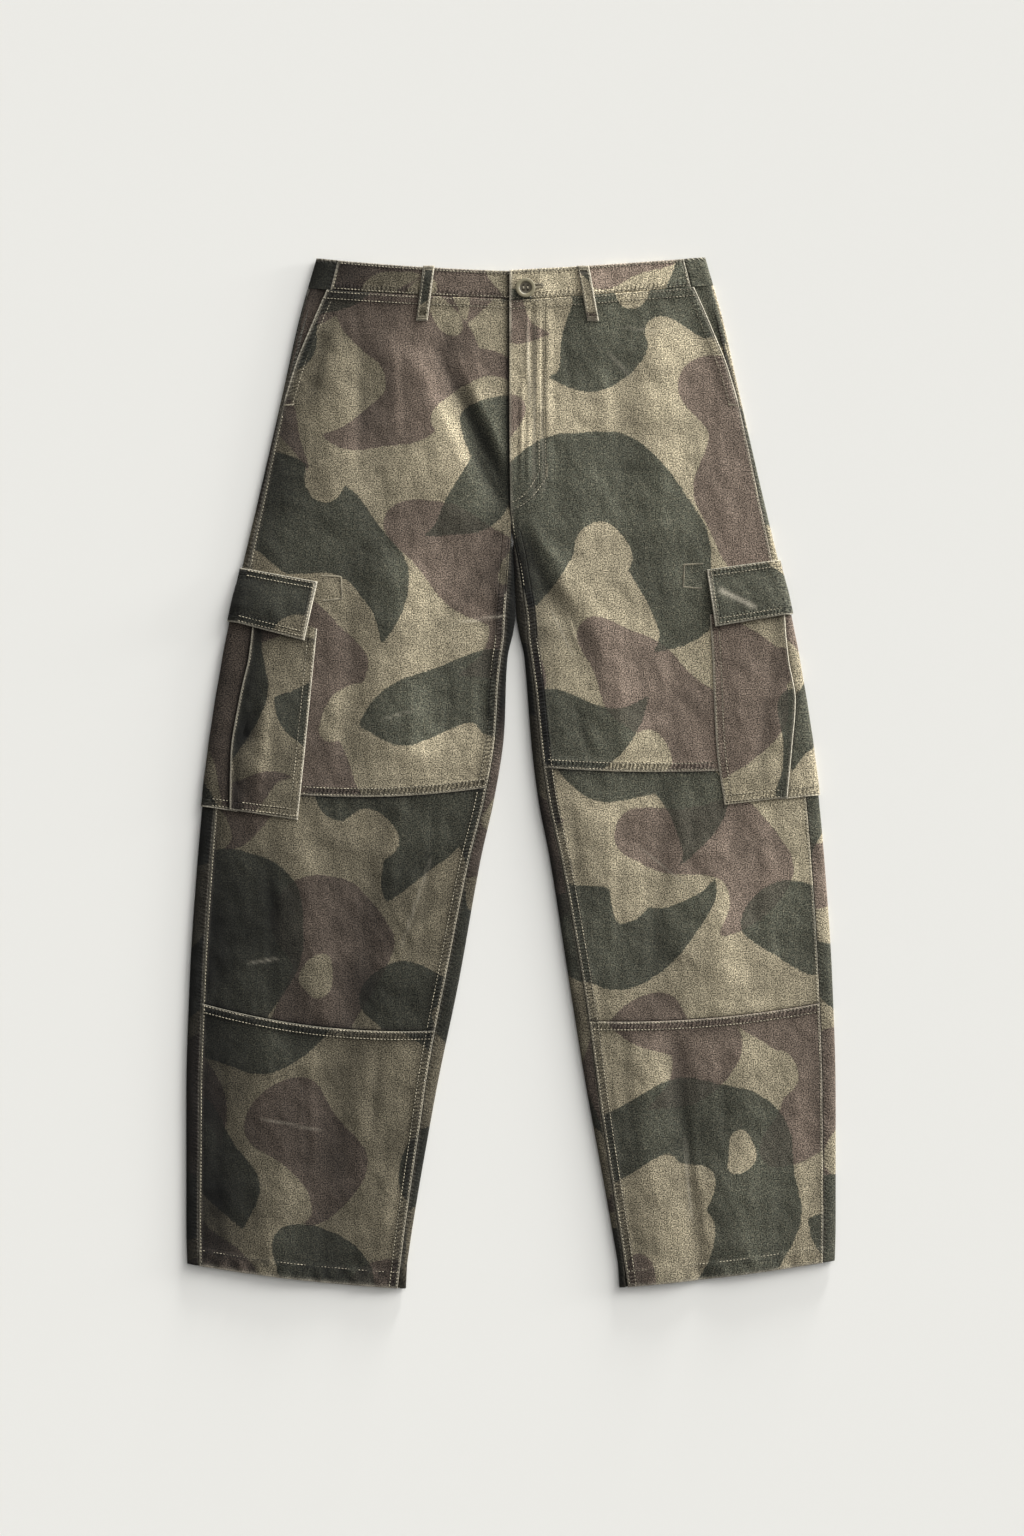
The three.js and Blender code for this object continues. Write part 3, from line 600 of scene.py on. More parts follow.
BROWN_MOTIFS = [
    [(4, 150, 28), (34, 188, 40), (14, 238, 30), (30, 276, 16), (58, 290, 4)],
    [(214, 88, 26), (252, 104, 40), (258, 150, 32), (224, 176, 18), (194, 180, 4)],
    [(258, 130, 28), (298, 128, 14), (330, 140, 7), (372, 132, 2)],
    [(416, 122, 30), (446, 160, 36), (432, 204, 30), (396, 222, 20), (360, 240, 5)],
    [(268, 246, 24), (306, 276, 36), (342, 312, 32), (328, 350, 18), (300, 362, 4)],
    [(396, 292, 30), (436, 318, 40), (428, 366, 32), (398, 396, 18)],
    [(436, 318, 30), (476, 306, 14), (506, 288, 3)],
    [(168, 322, 26), (196, 356, 36), (190, 404, 32), (212, 444, 28), (250, 462, 13), (286, 452, 3)],
    [(8, 344, 22), (-22, 366, 30), (-30, 340, 16)],
    [(292, 478, 12), (282, 512, 30), (324, 542, 34), (372, 534, 22), (408, 512, 8), (432, 506, 2)],
    [(86, 524, 26), (112, 556, 36), (148, 588, 36), (140, 626, 24), (112, 644, 6)],
    [(336, 596, 28), (376, 616, 38), (418, 640, 28), (446, 664, 12), (452, 684, 3)],
    [(480, 512, 22), (552, 520, 34), (566, 556, 24), (548, 584, 6)],
    [(178, 6, 26), (196, 44, 28), (176, 84, 20), (150, 96, 6)],
    [(282, 20, 28), (306, 52, 22), (298, 84, 8), (284, 100, 2)],
    [(500, 20, 34), (530, 52, 30), (524, 86, 12), (506, 96, 3)],
    [(124, 156, 8), (152, 168, 14), (180, 200, 6), (186, 216, 2)],
]
BROWN_BITES = [
    [(14, 200, 12), (22, 214, 8)],
    [(284, 164, 14), (290, 150, 8)],
    [(276, 96, 10), (268, 84, 6)],
    [(410, 170, 12), (398, 182, 14)],
    [(346, 280, 14), (336, 290, 6)],
    [(400, 340, 14), (388, 356, 12)],
    [(224, 380, 16), (216, 398, 10)],
    [(312, 508, 12), (324, 510, 8)],
    [(110, 600, 14), (122, 606, 8)],
    [(366, 588, 12), (372, 596, 5)],
]
PALE_STROKES = [
    [(120, 150, 5), (150, 166, 9), (172, 190, 4)],
    [(340, 410, 4), (372, 424, 8), (392, 452, 3)],
    [(474, 130, 3), (506, 118, 7), (540, 122, 3)],
    [(40, 500, 3), (66, 512, 7), (84, 536, 3)],
    [(286, 262, 3), (300, 240, 6), (322, 228, 3)],
]


def curved(chain, steps=5):
    """The chain with discs added between its own, on a smooth curve through them."""
    ends = [chain[0]] + list(chain) + [chain[-1]]
    made = []
    for a, b, c, d in zip(*(np.array(ends[i : len(ends) - 3 + i], float) for i in range(4))):
        for t in np.arange(steps) / steps:
            bend = (2 * a - 5 * b + 4 * c - d) * t * t + (3 * b - a - 3 * c + d) * t**3
            made.append(b + 0.5 * ((c - a) * t + bend))
    return np.array(made + [chain[-1]])


def chain_distance(x, y, chain):
    """Signed distance to a chain of discs, less than 0 inside it."""
    nearest = np.full(x.shape, 1e6)
    for (ax, ay, ar), (bx, by, br) in zip(chain, chain[1:]):
        dx, dy = bx - ax, by - ay
        t = clamp(((x - ax) * dx + (y - ay) * dy) / (dx * dx + dy * dy + 1e-9))
        nearest = np.minimum(nearest, np.hypot(x - ax - t * dx, y - ay - t * dy) - mix(ar, br, t))
    return nearest


def charted(motifs, bites=(), thinner=4.0):
    """One repeat of a layer of the print as a grid of signed distances."""
    wide, long = REPEAT
    x, y = np.meshgrid(np.arange(0, wide, CHART_STEP), np.arange(0, long, CHART_STEP))
    turn_x, turn_y = 2 * math.pi * x / wide, 2 * math.pi * y / long
    bent_x = x + 6 * np.sin(3 * turn_y + 1) + 2.5 * np.sin(9 * turn_y + 2 * turn_x)
    bent_y = y + 6 * np.sin(2 * turn_x) + 2.5 * np.sin(8 * turn_x + 3 * turn_y)
    layer = np.full(x.shape, 60.0)
    for chains, printed in ((motifs, True), (bites, False)):
        for chain in map(curved, chains):
            for shift_x in (-wide, 0, wide):
                for shift_y in (-long, 0, long):
                    moved = chain + (shift_x, shift_y, 0)
                    near_x = (moved[:, 0].max() > -90) & (moved[:, 0].min() < wide + 90)
                    near_y = (moved[:, 1].max() > -90) & (moved[:, 1].min() < long + 90)
                    if near_x and near_y:
                        away = chain_distance(bent_x, bent_y, moved)
                        away = away + thinner if printed else -away
                        layer = np.minimum(layer, away) if printed else np.maximum(layer, away)
    return layer


PRINT = {
    "green": charted(GREEN_MOTIFS, GREEN_BITES, 2.5),
    "brown": charted(BROWN_MOTIFS, BROWN_BITES, 3.0),
    "pale": charted(PALE_STROKES, (), 0.0),
}


def print_at(layer, u, v):
    """The layer's signed distance at a place on the cloth, between the chart's points."""
    grid = PRINT[layer]
    rows, columns = grid.shape
    step = CHART_STEP * PRINT_SCALE
    gx, gy = (u / step) % columns, (v / step) % rows
    x0, y0 = np.floor(gx).astype(int) % columns, np.floor(gy).astype(int) % rows
    fx, fy = gx - np.floor(gx), gy - np.floor(gy)
    x1, y1 = (x0 + 1) % columns, (y0 + 1) % rows
    upper = mix(grid[y0, x0], grid[y0, x1], fx)
    return PRINT_SCALE * mix(upper, mix(grid[y1, x0], grid[y1, x1], fx), fy)


# Where each piece was cut from the printed cloth: an offset in mm and a turn in degrees.
CUT_FROM = {
    "front_thigh_right": (430, 60, -4),
    "front_thigh_left": (40, 300, 3),
    "front_knee_right": (250, 420, 3),
    "front_knee_left": (500, 120, -2),
    "front_shin_right": (90, 20, -3),
    "front_shin_left": (330, 480, 4),
    "back_right": (180, 250, 2),
    "back_left": (360, 90, -2),
    "pocket_facing_right": (20, 400, 0),
    "pocket_facing_left": (240, 180, 0),
    "waistband_front_right": (410, 215, 88),
    "waistband_front_left": (120, 590, 91),
    "waistband_back": (300, 330, 90),
    "belt_loop_front_right": (230, 120, 0),
    "belt_loop_front_left": (470, 300, 0),
    "cargo_pocket_front_right": (60, 170, 2),
    "cargo_pocket_front_left": (350, 20, -2),
    "cargo_pocket_rear_right": (500, 380, 0),
    "cargo_pocket_rear_left": (150, 450, 0),
    "cargo_flap_right": (210, 210, 1),
    "cargo_flap_left": (20, 20, 0),
}

# Scratches and chafed lines, as pale strokes on the front: x, drop, half width and strength.
SCUFFS = table(
    "x drop wide height",
    ((-58, -6), (366, 358), 1.1, 0.5),
    ((-130, -96), (462, 452), 1.0, 0.35),
    ((16, 19), (66, 150), 1.4, 0.45),
    ((24, 23), (60, 240), 1.2, 0.4),
    ((30, 33), (120, 235), 1.1, 0.3),
    ((110, 146), (70, 74), 1.0, 0.35),
    ((98, 120), (96, 120), 2.0, 0.25),
    ((40, 62), (352, 398), 0.9, 0.35),
    ((130, 190), (590, 640), 1.0, 0.3),
    ((-262, -232), (705, 700), 1.2, 0.3),
    ((-80, -110), (600, 690), 1.2, 0.25),
    ((174, 180), (880, 960), 1.3, 0.35),
    ((-250, -190), (860, 872), 1.1, 0.25),
)


def painted_shade_and_fade(side, q, drop):
    """Painted shade and light, with some real fade, added to the colour at each point."""
    out = np.maximum(outer_fold(drop) - q, 0)
    inn = np.maximum(q - inner_fold(side, drop), 0)
    x = side["sign"] * q
    if side is RIGHT:
        # Painted shade towards the outer and inner folds, and the whole right leg darker, as if lit
        # from the wearer's left.
        painted_shade_and_dye = -0.24 * near(out, 30) - 0.20 * near(out, 95)
        painted_shade_and_dye = painted_shade_and_dye - 0.16 * near(inn, 12) * parted(drop) - 0.10
        # A painted lighter middle of the right thigh, darker down the lower leg, more painted shade at
        # the outer fold by the pocket.
        lighter_patch = 0.10 * np.exp(-((x + 75) / 60) ** 2) * (drop < 520)
        painted_shade_and_dye = painted_shade_and_dye - 0.22 * past(drop, 470, 200) + lighter_patch
        painted_shade_and_dye = painted_shade_and_dye - 0.10 * past(drop, 360, 60) * near(out, 70)
    else:
        # Painted shade at the inner fold below the crotch and a little at the outer one; the left leg
        # lighter overall,
        # darker down the lower leg and lighter at the left of the waist.
        edge = 0.66 - 0.34 * past(drop, 600, 90)
        painted_shade_and_dye = -(edge * near(inn, 15) + 0.16 * near(inn, 75)) * parted(drop)
        painted_shade_and_dye = painted_shade_and_dye - 0.05 * near(out, 10) + 0.07 - 0.14 * past(drop, 540, 300)
        painted_shade_and_dye = painted_shade_and_dye + 0.16 * before(drop, 110, 100) * past(x, 40, 60)
    # A painted shadow between the legs at the crotch, and the right of the waist darker.
    crotch = np.exp(-((np.abs(x - 4) / 22) ** 2) - ((drop - 360) / 80) ** 2)
    waist = -0.12 * before(drop, 70, 60) * before(x, -60, 60)
    mottle = 0.06 * ripples(x, drop, 120, 11) + 0.05 * ripples(x, drop, 45, 12)
    # Fold troughs painted darker as shade and ridges paler, partly real wear on the ridges.
    worn_and_shaded_folds = 0.07 * folds(x, drop) + 0.14 * creases(x, drop)
    return painted_shade_and_dye - 0.45 * crotch + waist + mottle + worn_and_shaded_folds


def scuffed(x, drop):
    """How chafed the front is along its scratches."""
    total = 0.0
    for line in SCUFFS:
        held, mark = ridge(line, x, drop)
        total = total + mark * np.sin(np.pi * clamp(held * 0.9 + 0.05)) ** 0.5
    return total


# The first even line past an edge lies at least this far in, clear of the close ones.
CLEAR_OF_EDGE = 3.2


def spaced(length, step=STEP):
    """Shares of a length at which to put mesh lines, closer together at both of its edges."""
    even = np.linspace(0, length, max(2, int(round(length / step)) + 1))
    lines = {v for v in even if CLEAR_OF_EDGE < v < length - CLEAR_OF_EDGE}
    lines |= set(EDGE_LINES) | {length - e for e in EDGE_LINES}
    return np.array(sorted(lines)) / length


def closer(lines, length, start, end, step):
    """The same shares with closer ones between two places, counted in mm from the far end."""
    back = (1 - lines) * length
    kept = lines[(back < start - 0.6) | (back > end)]
    return np.sort(np.concatenate([kept, 1 - np.arange(start, end, step) / length]))


def metres(side, q, drop, z):
    """Points of one side, or of both where q is x and side is None, as points in metres."""
    sign = side["sign"] if side else 1
    return np.stack([sign * q, WAIST_Y - drop, np.maximum(z, 0)], axis=-1) / 1000.0


def linear(hex_colour, alpha=1.0):
    """An sRGB hex colour as the linear colour that a shader takes."""
    parts = [int(hex_colour[i : i + 2], 16) / 255 for i in (1, 3, 5)]
    return [p / 12.92 if p <= 0.04045 else ((p + 0.055) / 1.055) ** 2.4 for p in parts] + [alpha]


# A field's value where no edge is near, and the darkest that painted shade with worn colour may go.
FAR = 60.0
DARKEST = -0.74


def wall_faces(rows, columns):
    """Four-sided faces of two grids of points, back to back, closed by a rim."""
    count = rows * columns
    index = np.arange(count).reshape(rows, columns)
    a, b = index[:-1, :-1].ravel(), index[:-1, 1:].ravel()
    c, d = index[1:, 1:].ravel(), index[1:, :-1].ravel()
    faces = [np.stack([a, d, c, b], 1), np.stack([a, b, c, d], 1) + count]
    for line, flip in ((index[0], 0), (index[-1], 1), (index[:, 0], 1), (index[:, -1], 0)):
        p, q = line[:-1], line[1:]
        rim = np.stack([p, q, q + count, p + count], 1)
        faces.append(rim[:, ::-1] if flip else rim)
    return np.concatenate(faces)


def facing_out(points, faces):
    """The faces, turned over if their normals point into the wall."""
    p, q, r, s = (points[faces[:, i]] for i in range(4))
    volume = (np.cross(p, q) * r + np.cross(p, r) * s).sum()
    return faces[:, ::-1] if volume < 0 else faces


def shell(name, outer, inner, cut, fields):
    """A closed wall of cloth between two grids of points, with its cut, print and wear."""
    rows, columns = outer.shape[:2]
    points = np.concatenate([outer.reshape(-1, 3), inner.reshape(-1, 3)])
    faces = facing_out(points, wall_faces(rows, columns))
    mesh = bpy.data.meshes.new(name)
    mesh.vertices.add(len(points))
    mesh.vertices.foreach_set("co", points.astype(np.float32).ravel())
    mesh.loops.add(faces.size)
    mesh.loops.foreach_set("vertex_index", faces.astype(np.int32).ravel())
    mesh.polygons.add(len(faces))
    mesh.polygons.foreach_set("loop_start", np.arange(0, faces.size, 4, dtype=np.int32))
    mesh.polygons.foreach_set("use_smooth", np.ones(len(faces), dtype=bool))
    mesh.update(calc_edges=True)
    flat = cut.reshape(-1, 2)
    both = np.concatenate([flat, flat]) / 1000.0
    layer = mesh.uv_layers.new(name="cut")
    layer.data.foreach_set("uv", both[faces.ravel()].astype(np.float32).ravel())
    fields["painted_shade_and_dye"] = np.maximum(fields["painted_shade_and_dye"], DARKEST)
    for key, values in fields.items():
        field = np.broadcast_to(values, (rows, columns)).reshape(-1).astype(np.float32)
        attribute = mesh.attributes.new(key, "FLOAT", "POINT")
        attribute.data.foreach_set("value", np.concatenate([field, field]))
    mesh.validate()
    piece = bpy.data.objects.new(name, mesh)
    bpy.context.scene.collection.objects.link(piece)
    mesh.materials.append(TWILL)
    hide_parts(name)
    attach(piece, "root")
    return piece


def cut_and_print(name, u, v):
    """The place on the printed cloth that a piece was cut from, and the print there."""
    offset_u, offset_v, degrees = CUT_FROM.get(name, (0, 0, 0))
    turn = math.radians(degrees)
    cut_u = u * math.cos(turn) - v * math.sin(turn) + offset_u
    cut_v = u * math.sin(turn) + v * math.cos(turn) + offset_v
    printed = {layer: print_at(layer, cut_u, cut_v) for layer in PRINT}
    return np.stack([u + offset_u, v + offset_v], -1), printed


def cloth_piece(name, side, outer, inner, cut, fields, rests_on, **size):
    """A wall of twill between faces of (q, drop, z) that lie on what is under it, cut from (u, v);
    `rests_on` and `size` are not used.
    """
    place, printed = cut_and_print(name, *cut)
    plain = {"inside": FAR, "worn": 0.0, "ticks_across": 0.0, "ticks_along": 0.0}
    fields = {**printed, **plain, **fields}
    piece = shell(name, metres(side, *outer), metres(side, *inner), place, fields)


class Finish:
    """A new material with short ways to add shader nodes. Inputs are values, sockets or hex colours."""

    def __init__(self, name):
        self.material = bpy.data.materials.new(name)
        self.material.use_nodes = True
        self.tree = self.material.node_tree
        self.shader = self.tree.nodes["Principled BSDF"]

    def fill(self, node, inputs):
        for key, value in inputs.items():
            if isinstance(value, bpy.types.NodeSocket):
                self.tree.links.new(value, node.inputs[key])
            elif value is not None:
                node.inputs[key].default_value = linear(value) if isinstance(value, str) else value

    def add(self, kind, inputs, **settings):
        """The outputs of one new node."""
        node = self.tree.nodes.new("ShaderNode" + kind)
        for key, value in settings.items():
            setattr(node, key, value)
        self.fill(node, inputs)
        return node.outputs

    def maths(self, operation, *values, held=False):
        return self.add("Math", dict(enumerate(values)), operation=operation, use_clamp=held)[0]

    def blend(self, factor, a, b, how="MIX"):
        return self.add("Mix", {0: factor, 6: a, 7: b}, data_type="RGBA", blend_type=how)[2]

    def noise(self, place, scale, detail=2.0, rough=0.5):
        inputs = {"Vector": place, "Scale": scale, "Detail": detail, "Roughness": rough}
        return self.add("TexNoise", inputs)["Fac"]

    def spread(self, value, **ends):
        """A value spread from one range to another, of which 0 and 1 go without saying."""
        named = {key.replace("_", " ").title(): end for key, end in ends.items()}
        return self.add("MapRange", {"Value": value, **named})[0]

    def bump(self, height, strength, distance, normal=None):
        inputs = {"Height": height, "Strength": strength, "Distance": distance, "Normal": normal}
        return self.add("Bump", inputs)[0]

    def field(self, name):
        """A value that a mesh keeps at each of its points."""
        return self.add("Attribute", {}, attribute_name=name)["Fac"]


def seam_ropes(finish, parts, uneven):
    """Gathers that slant across the seams, about 4 mm apart and uneven."""
    ropes = []
    for along_seam, other, mask in (("X", "Y", "ticks_across"), ("Y", "X", "ticks_along")):
        slant = finish.maths("MULTIPLY", parts[other], 2 * math.pi / 0.011)
        wave = finish.maths("MULTIPLY_ADD", parts[along_seam], 2 * math.pi / 0.0041, slant)
        wave = finish.maths("SINE", finish.maths("ADD", wave, uneven))
        ropes.append(finish.maths("MULTIPLY", wave, finish.field(mask)))
    return finish.maths("ADD", *ropes)


def washed_twill():
    """Cotton twill, printed in a camouflage, garment washed: matt, with speckled ink, streaks of
    uneven yarn, ropy seam puckers and chafed edges where the ground shows pale."""
    finish = Finish("washed printed cotton twill")
    maths, blend, field = finish.maths, finish.blend, finish.field
    # Cotton: no coat, a wide soft gloss and a faint bloom of loose fibres.
    finish.fill(finish.shader, {"Roughness": 0.93, "IOR": 1.45, "Specular IOR Level": 0.2,
                                "Sheen Weight": 0.06, "Sheen Roughness": 0.6})
    cut = finish.add("UVMap", {}, uv_map="cut")["UV"]

    def noise(millimetres, stretch=(1, 1), detail=2.0, rough=0.6):
        """Noise with features of about this size on the cloth."""
        scale = [1000 / millimetres / s for s in stretch] + [1]
        place = finish.add("Mapping", {"Vector": cut, "Scale": scale})[0]
        return finish.noise(place, 1.0, detail, rough)

    # Twill has about 20 threads to the centimetre, too fine to show here, so its grain is drawn
    # as specks 1.2 mm across and its yarns as streaks 1.1 mm wide and 8 mm long.
    specks = noise(1.2)
    yarns = maths("ADD", noise(1.1, (1, 7), detail=1), noise(1.1, (7, 1), detail=1))
    cloudy = noise(36, detail=5, rough=0.62)
    faded = noise(9, (1, 8), detail=3)
    jitter = maths("MULTIPLY", maths("SUBTRACT", noise(2.6, detail=3), 0.5), 4.0)

    def inked(name, soft=0.5):
        """1 inside a motif, with a slightly ragged edge about a millimetre wide."""
        edge = maths("ADD", field(name), jitter)
        return maths("SUBTRACT", 0.5, maths("DIVIDE", edge, 2 * soft), held=True)

    green, brown, pale = inked("green"), inked("brown"), inked("pale", 2.0)
    ground = blend(cloudy, "#9d937c", "#8a816b")
    ground = blend(maths("MULTIPLY", pale, 0.4), ground, "#b0a68d")
    colour = blend(brown, ground, blend(cloudy, "#776a5e", "#60544a"))
    overprint = blend(maths("MULTIPLY", brown, 0.4), blend(cloudy, "#505146", "#3f4036"), "#4b433a")
    # The darkest ink has washed out in blotches about 3 mm across.
    kept = maths("MULTIPLY_ADD", noise(3, detail=3), 0.7, 0.6, held=True)
    colour = blend(maths("MULTIPLY", green, kept), colour, overprint)

    # Brightness: grain and yarn streaks, then the painted shade with the cloth's worn colour, then the
    # seam gathers. The painted shade is stated as the eye sees it, and 2.2 turns it to linear.
    grain = maths("MULTIPLY_ADD", specks, 6.8, -2.4)
    strength = maths("MULTIPLY", grain, maths("MULTIPLY_ADD", yarns, 0.9, 0.1))
    wash = maths("MULTIPLY_ADD", maths("ADD", cloudy, faded), 0.36, 0.64)
    strength = maths("MULTIPLY", strength, wash)
    # The mesh's field paints shade and light into the cloth's colour, besides its uneven fade.
    shade_and_dye_linear = maths("POWER", maths("ADD", field("painted_shade_and_dye"), 1.0), 2.2)
    strength = maths("MULTIPLY", strength, shade_and_dye_linear)
    uneven = maths("MULTIPLY", noise(8), 11.0)
    gather_bumps_and_shade = seam_ropes(finish, finish.add("SeparateXYZ", {"Vector": cut}), uneven)
    # The gathers' light and shade are painted into the colour here, besides their bump further on.
    strength = maths("MULTIPLY", strength, maths("MULTIPLY_ADD", gather_bumps_and_shade, 0.42, 1.0))
    # Two rows of stitches press the cloth in, 1.8 and 8.4 mm inside a sewn edge. The furrows are
    # bumped and also painted darker as shade.
    from_row = maths("SUBTRACT", maths("ABSOLUTE", maths("SUBTRACT", field("inside"), 5.1)), 3.3)
    stitch_press_and_shade = maths("SUBTRACT", 1.0, maths("ABSOLUTE", from_row), held=True)
    strength = maths("MULTIPLY", strength, maths("MULTIPLY_ADD", stitch_press_and_shade, -0.34, 1.0))
    grey = finish.add("CombineColor", dict.fromkeys(range(3), strength))
    colour = blend(1.0, colour, grey[0], "MULTIPLY")

    # Chafed places, where the ink is gone: broken up by the weave.
    chafed = maths("MULTIPLY_ADD", specks, 2.6, -0.45)
    colour = blend(maths("MULTIPLY", field("worn"), chafed, held=True), colour, "#c6beab")

    weave = maths("ADD", specks, maths("MULTIPLY", yarns, 0.5))
    crumpled = maths("MULTIPLY_ADD", noise(9, (1, 2), detail=1), 0.12, noise(26, (1, 1.4), detail=1.5))
    normal = finish.bump(weave, 0.35, 0.00025)
    normal = finish.bump(crumpled, 0.9, 0.0036, normal)
    normal = finish.bump(maths("SUBTRACT", gather_bumps_and_shade, stitch_press_and_shade), 0.7, 0.0006, normal)
    finish.fill(finish.shader, {"Base Color": colour, "Normal": normal})
    return finish.material


TWILL = washed_twill()


def worn_edge(distance, width=1.1):
    """Chafed at an edge and gone within about this many millimetres."""
    return np.exp(-((np.maximum(distance, 0) / (1.5 * width)) ** 2))


def channel(distance, start, end, soft=1.2):
    """1 between two rows of stitches, at these distances inside an edge."""
    return smooth((distance - start + soft) / soft) * smooth((end + soft - distance) / soft)


def front_places(side, piece, upper, lower):
    """Where each point of a front panel is, and how far inside each of the panel's edges."""
    probe = 160.0
    mid = 150.0 if piece == "thigh" else float(np.mean([upper(probe), lower(probe)]))
    wide = float(front_outer(mid) - front_inner(side, mid))
    s = spaced(wide)
    if piece == "thigh":
        s = closer(s, wide, 3.4, 56 if side is LEFT else 20, 1.25)
    t = spaced(float(lower(probe) - upper(probe)))[:, None]

    def at(drop):
        return mix(front_outer(drop), front_inner(side, drop), s[None, :])

    start, end = upper(at(upper(150.0))), lower(at(lower(150.0)))
    drop = mix(start, end, t)
    q = at(drop)
    return SimpleNamespace(
        q=q,
        x=side["sign"] * q,
        drop=drop,
        top=drop - start,
        bottom=end - drop,
        inner=q - front_inner(side, drop),
        outer=front_outer(drop) - q,
        opening=before(drop, HAND_POCKET["bottom"], 10) * (piece == "thigh"),
        free=seam_rise(side, q, drop),
    )


def hem_ripples(at, seed):
    """Uneven fullness that is held in by the hem's stitches."""
    return ripples(at.x, at.bottom * 0.5, 13, seed + 3) * channel(at.bottom, 0, 15, 3)


def front_faces(side, piece, at, seed):
    """The two faces of a front panel: turned edges, the fly and the gathers of its seams."""
    proud = most(past(at.drop, FORK, 10) * turned(at.inner, ALLOWANCE),
                 0.5 * at.opening * before(at.outer, 10.5, 1.5))
    for distance, edge in zip((at.top, at.bottom), FRONTS[piece]["turned"]):
        proud = most(proud, turned(distance, edge))
    outer_z, inner_z = top_cloth(side, at.q, at.drop)
    raised = fly_proud(side, at.q, at.drop)
    outer_z = outer_z + raised + proud * at.free
    outer_z = outer_z + puckers(at.x, at.top, seed + 3) * at.free
    outer_z = outer_z + puckers(at.x, at.bottom, seed + 6) * at.free
    outer_z = outer_z + 0.6 * puckers(at.drop, at.inner, seed + 7) * past(at.drop, FORK, 20)
    if piece == "shin":
        outer_z = outer_z + 0.3 * hem_ripples(at, seed)
    outer_z = outer_z - edge_round(least(at.top, at.bottom, at.inner, at.outer))
    return outer_z, np.minimum(inner_z + raised, outer_z - 0.5)


def front_wear(side, piece, at):
    """Chafing along a front panel's edges, most at the fly and the hand pocket."""
    worn = most(
        0.55 * (piece != "knee") * worn_edge(at.bottom),
        0.22 * (piece == "shin") * worn_edge(at.top),
        0.85 * at.opening * worn_edge(at.outer),
        0.35 * (1 - at.opening) * worn_edge(at.outer),
        0.35 * past(at.drop, FORK, 12) * worn_edge(at.inner),
    )
    if side is LEFT and piece == "thigh":
        lighter_patch = 0.35 + 0.55 * before(at.drop, 90, 30)
        worn = most(worn, lighter_patch * worn_edge(at.inner, 1.3) * before(at.drop, 275, 20))
    return clamp(worn + 0.8 * scuffed(at.x, at.drop))


def front_gathers(piece, at):
    """How strongly the seams across a front panel are gathered, and those down it."""
    across_leg = {
        "thigh": most(channel(at.bottom, 1.8, 7.6), 0.3 * channel(at.top, 1.8, 7.6)) * at.free,
        "knee": 0.35 * near(at.top, 6),
        "shin": most(0.14 * channel(at.bottom, 2, 14, 3), 0.8 * channel(at.top, 1.8, 7.6) * at.free),
    }[piece]
    return across_leg, most(
        0.7 * past(at.drop, FORK, 12) * channel(at.inner, 1.5, 7.8),
        0.5 * at.opening * channel(at.outer, 1.5, 8.5),
        0.3 * near(at.outer, 4),
    )


def front_stitched(side, piece, at):
    """How far each point is inside the nearest edge that has two rows of stitches."""
    inside = least(FAR, at.inner + FAR * (1 - past(at.drop, 262, 12)),
                   np.where(at.outer < 5, at.outer, FAR))
    if piece != "knee":
        inside = least(inside, at.top)
    if piece == "thigh":
        inside = least(inside, at.bottom)
    if side is LEFT and piece == "thigh":
        end = fly_end(side, at.q, at.drop)
        in_fly = least(FLY["wide"] - at.q + middle(side, at.drop), end - at.drop)
        inside = least(inside, np.where(in_fly > -1, in_fly, FAR))
    return inside


def front_painted_shade(side, piece, at, ticks, seed):
    """The painted shade of a front panel, with some real fade, and painted lines of shade along its
    seams.
    """
    # Painted shade in the gathered channels of the seams.
    painted_shade_and_dye = painted_shade_and_fade(side, at.q, at.drop) - 0.18 * ticks[0] - 0.15 * ticks[1]
    if side is LEFT:
        below_fork = past(at.drop, FORK, 12)
        # Painted shade along the left front's inseam below the crotch, between the legs.
        painted_shade_and_dye = painted_shade_and_dye - 0.35 * channel(at.inner, 0, 9) * below_fork * before(at.drop, 590, 40)
    if piece == "knee":
        # Painted shadow under the lapped edges above and below the knee panel.
        painted_shade_and_dye = painted_shade_and_dye - 0.35 * near(at.top, 1.6) - 0.35 * near(at.bottom, 1.6)
    if side is RIGHT and piece == "thigh":
        beside_fly = np.maximum(at.q - middle(side, at.drop), 0)
        # Painted shadow of the left front's fly lap beside the right front's edge.
        painted_shade_and_dye = painted_shade_and_dye - 0.62 * near(beside_fly, 3.0) * (at.drop < 250)
    if piece == "shin":
        # A painted line of shade at the hem's stitch row, and the hem's ripples painted lighter on
        # their ridges.
        painted_shade_and_dye = painted_shade_and_dye - 0.20 * np.exp(-(((at.bottom - 15.8) / 1.1) ** 2))
        painted_shade_and_dye = painted_shade_and_dye + 0.10 * hem_ripples(at, seed)
    return painted_shade_and_dye


# The front panels of a leg: the edges that are turned, at the top and the bottom, and the cut.
FRONTS = {
    "thigh": {"turned": (ALLOWANCE, ALLOWANCE), "flat": (0.290, 0.500), "area": 0.124},
    "knee": {"turned": (), "flat": (0.272, 0.240), "area": 0.060},
    "shin": {"turned": (ALLOWANCE, HEM), "flat": (0.236, 0.266), "area": 0.058},
}


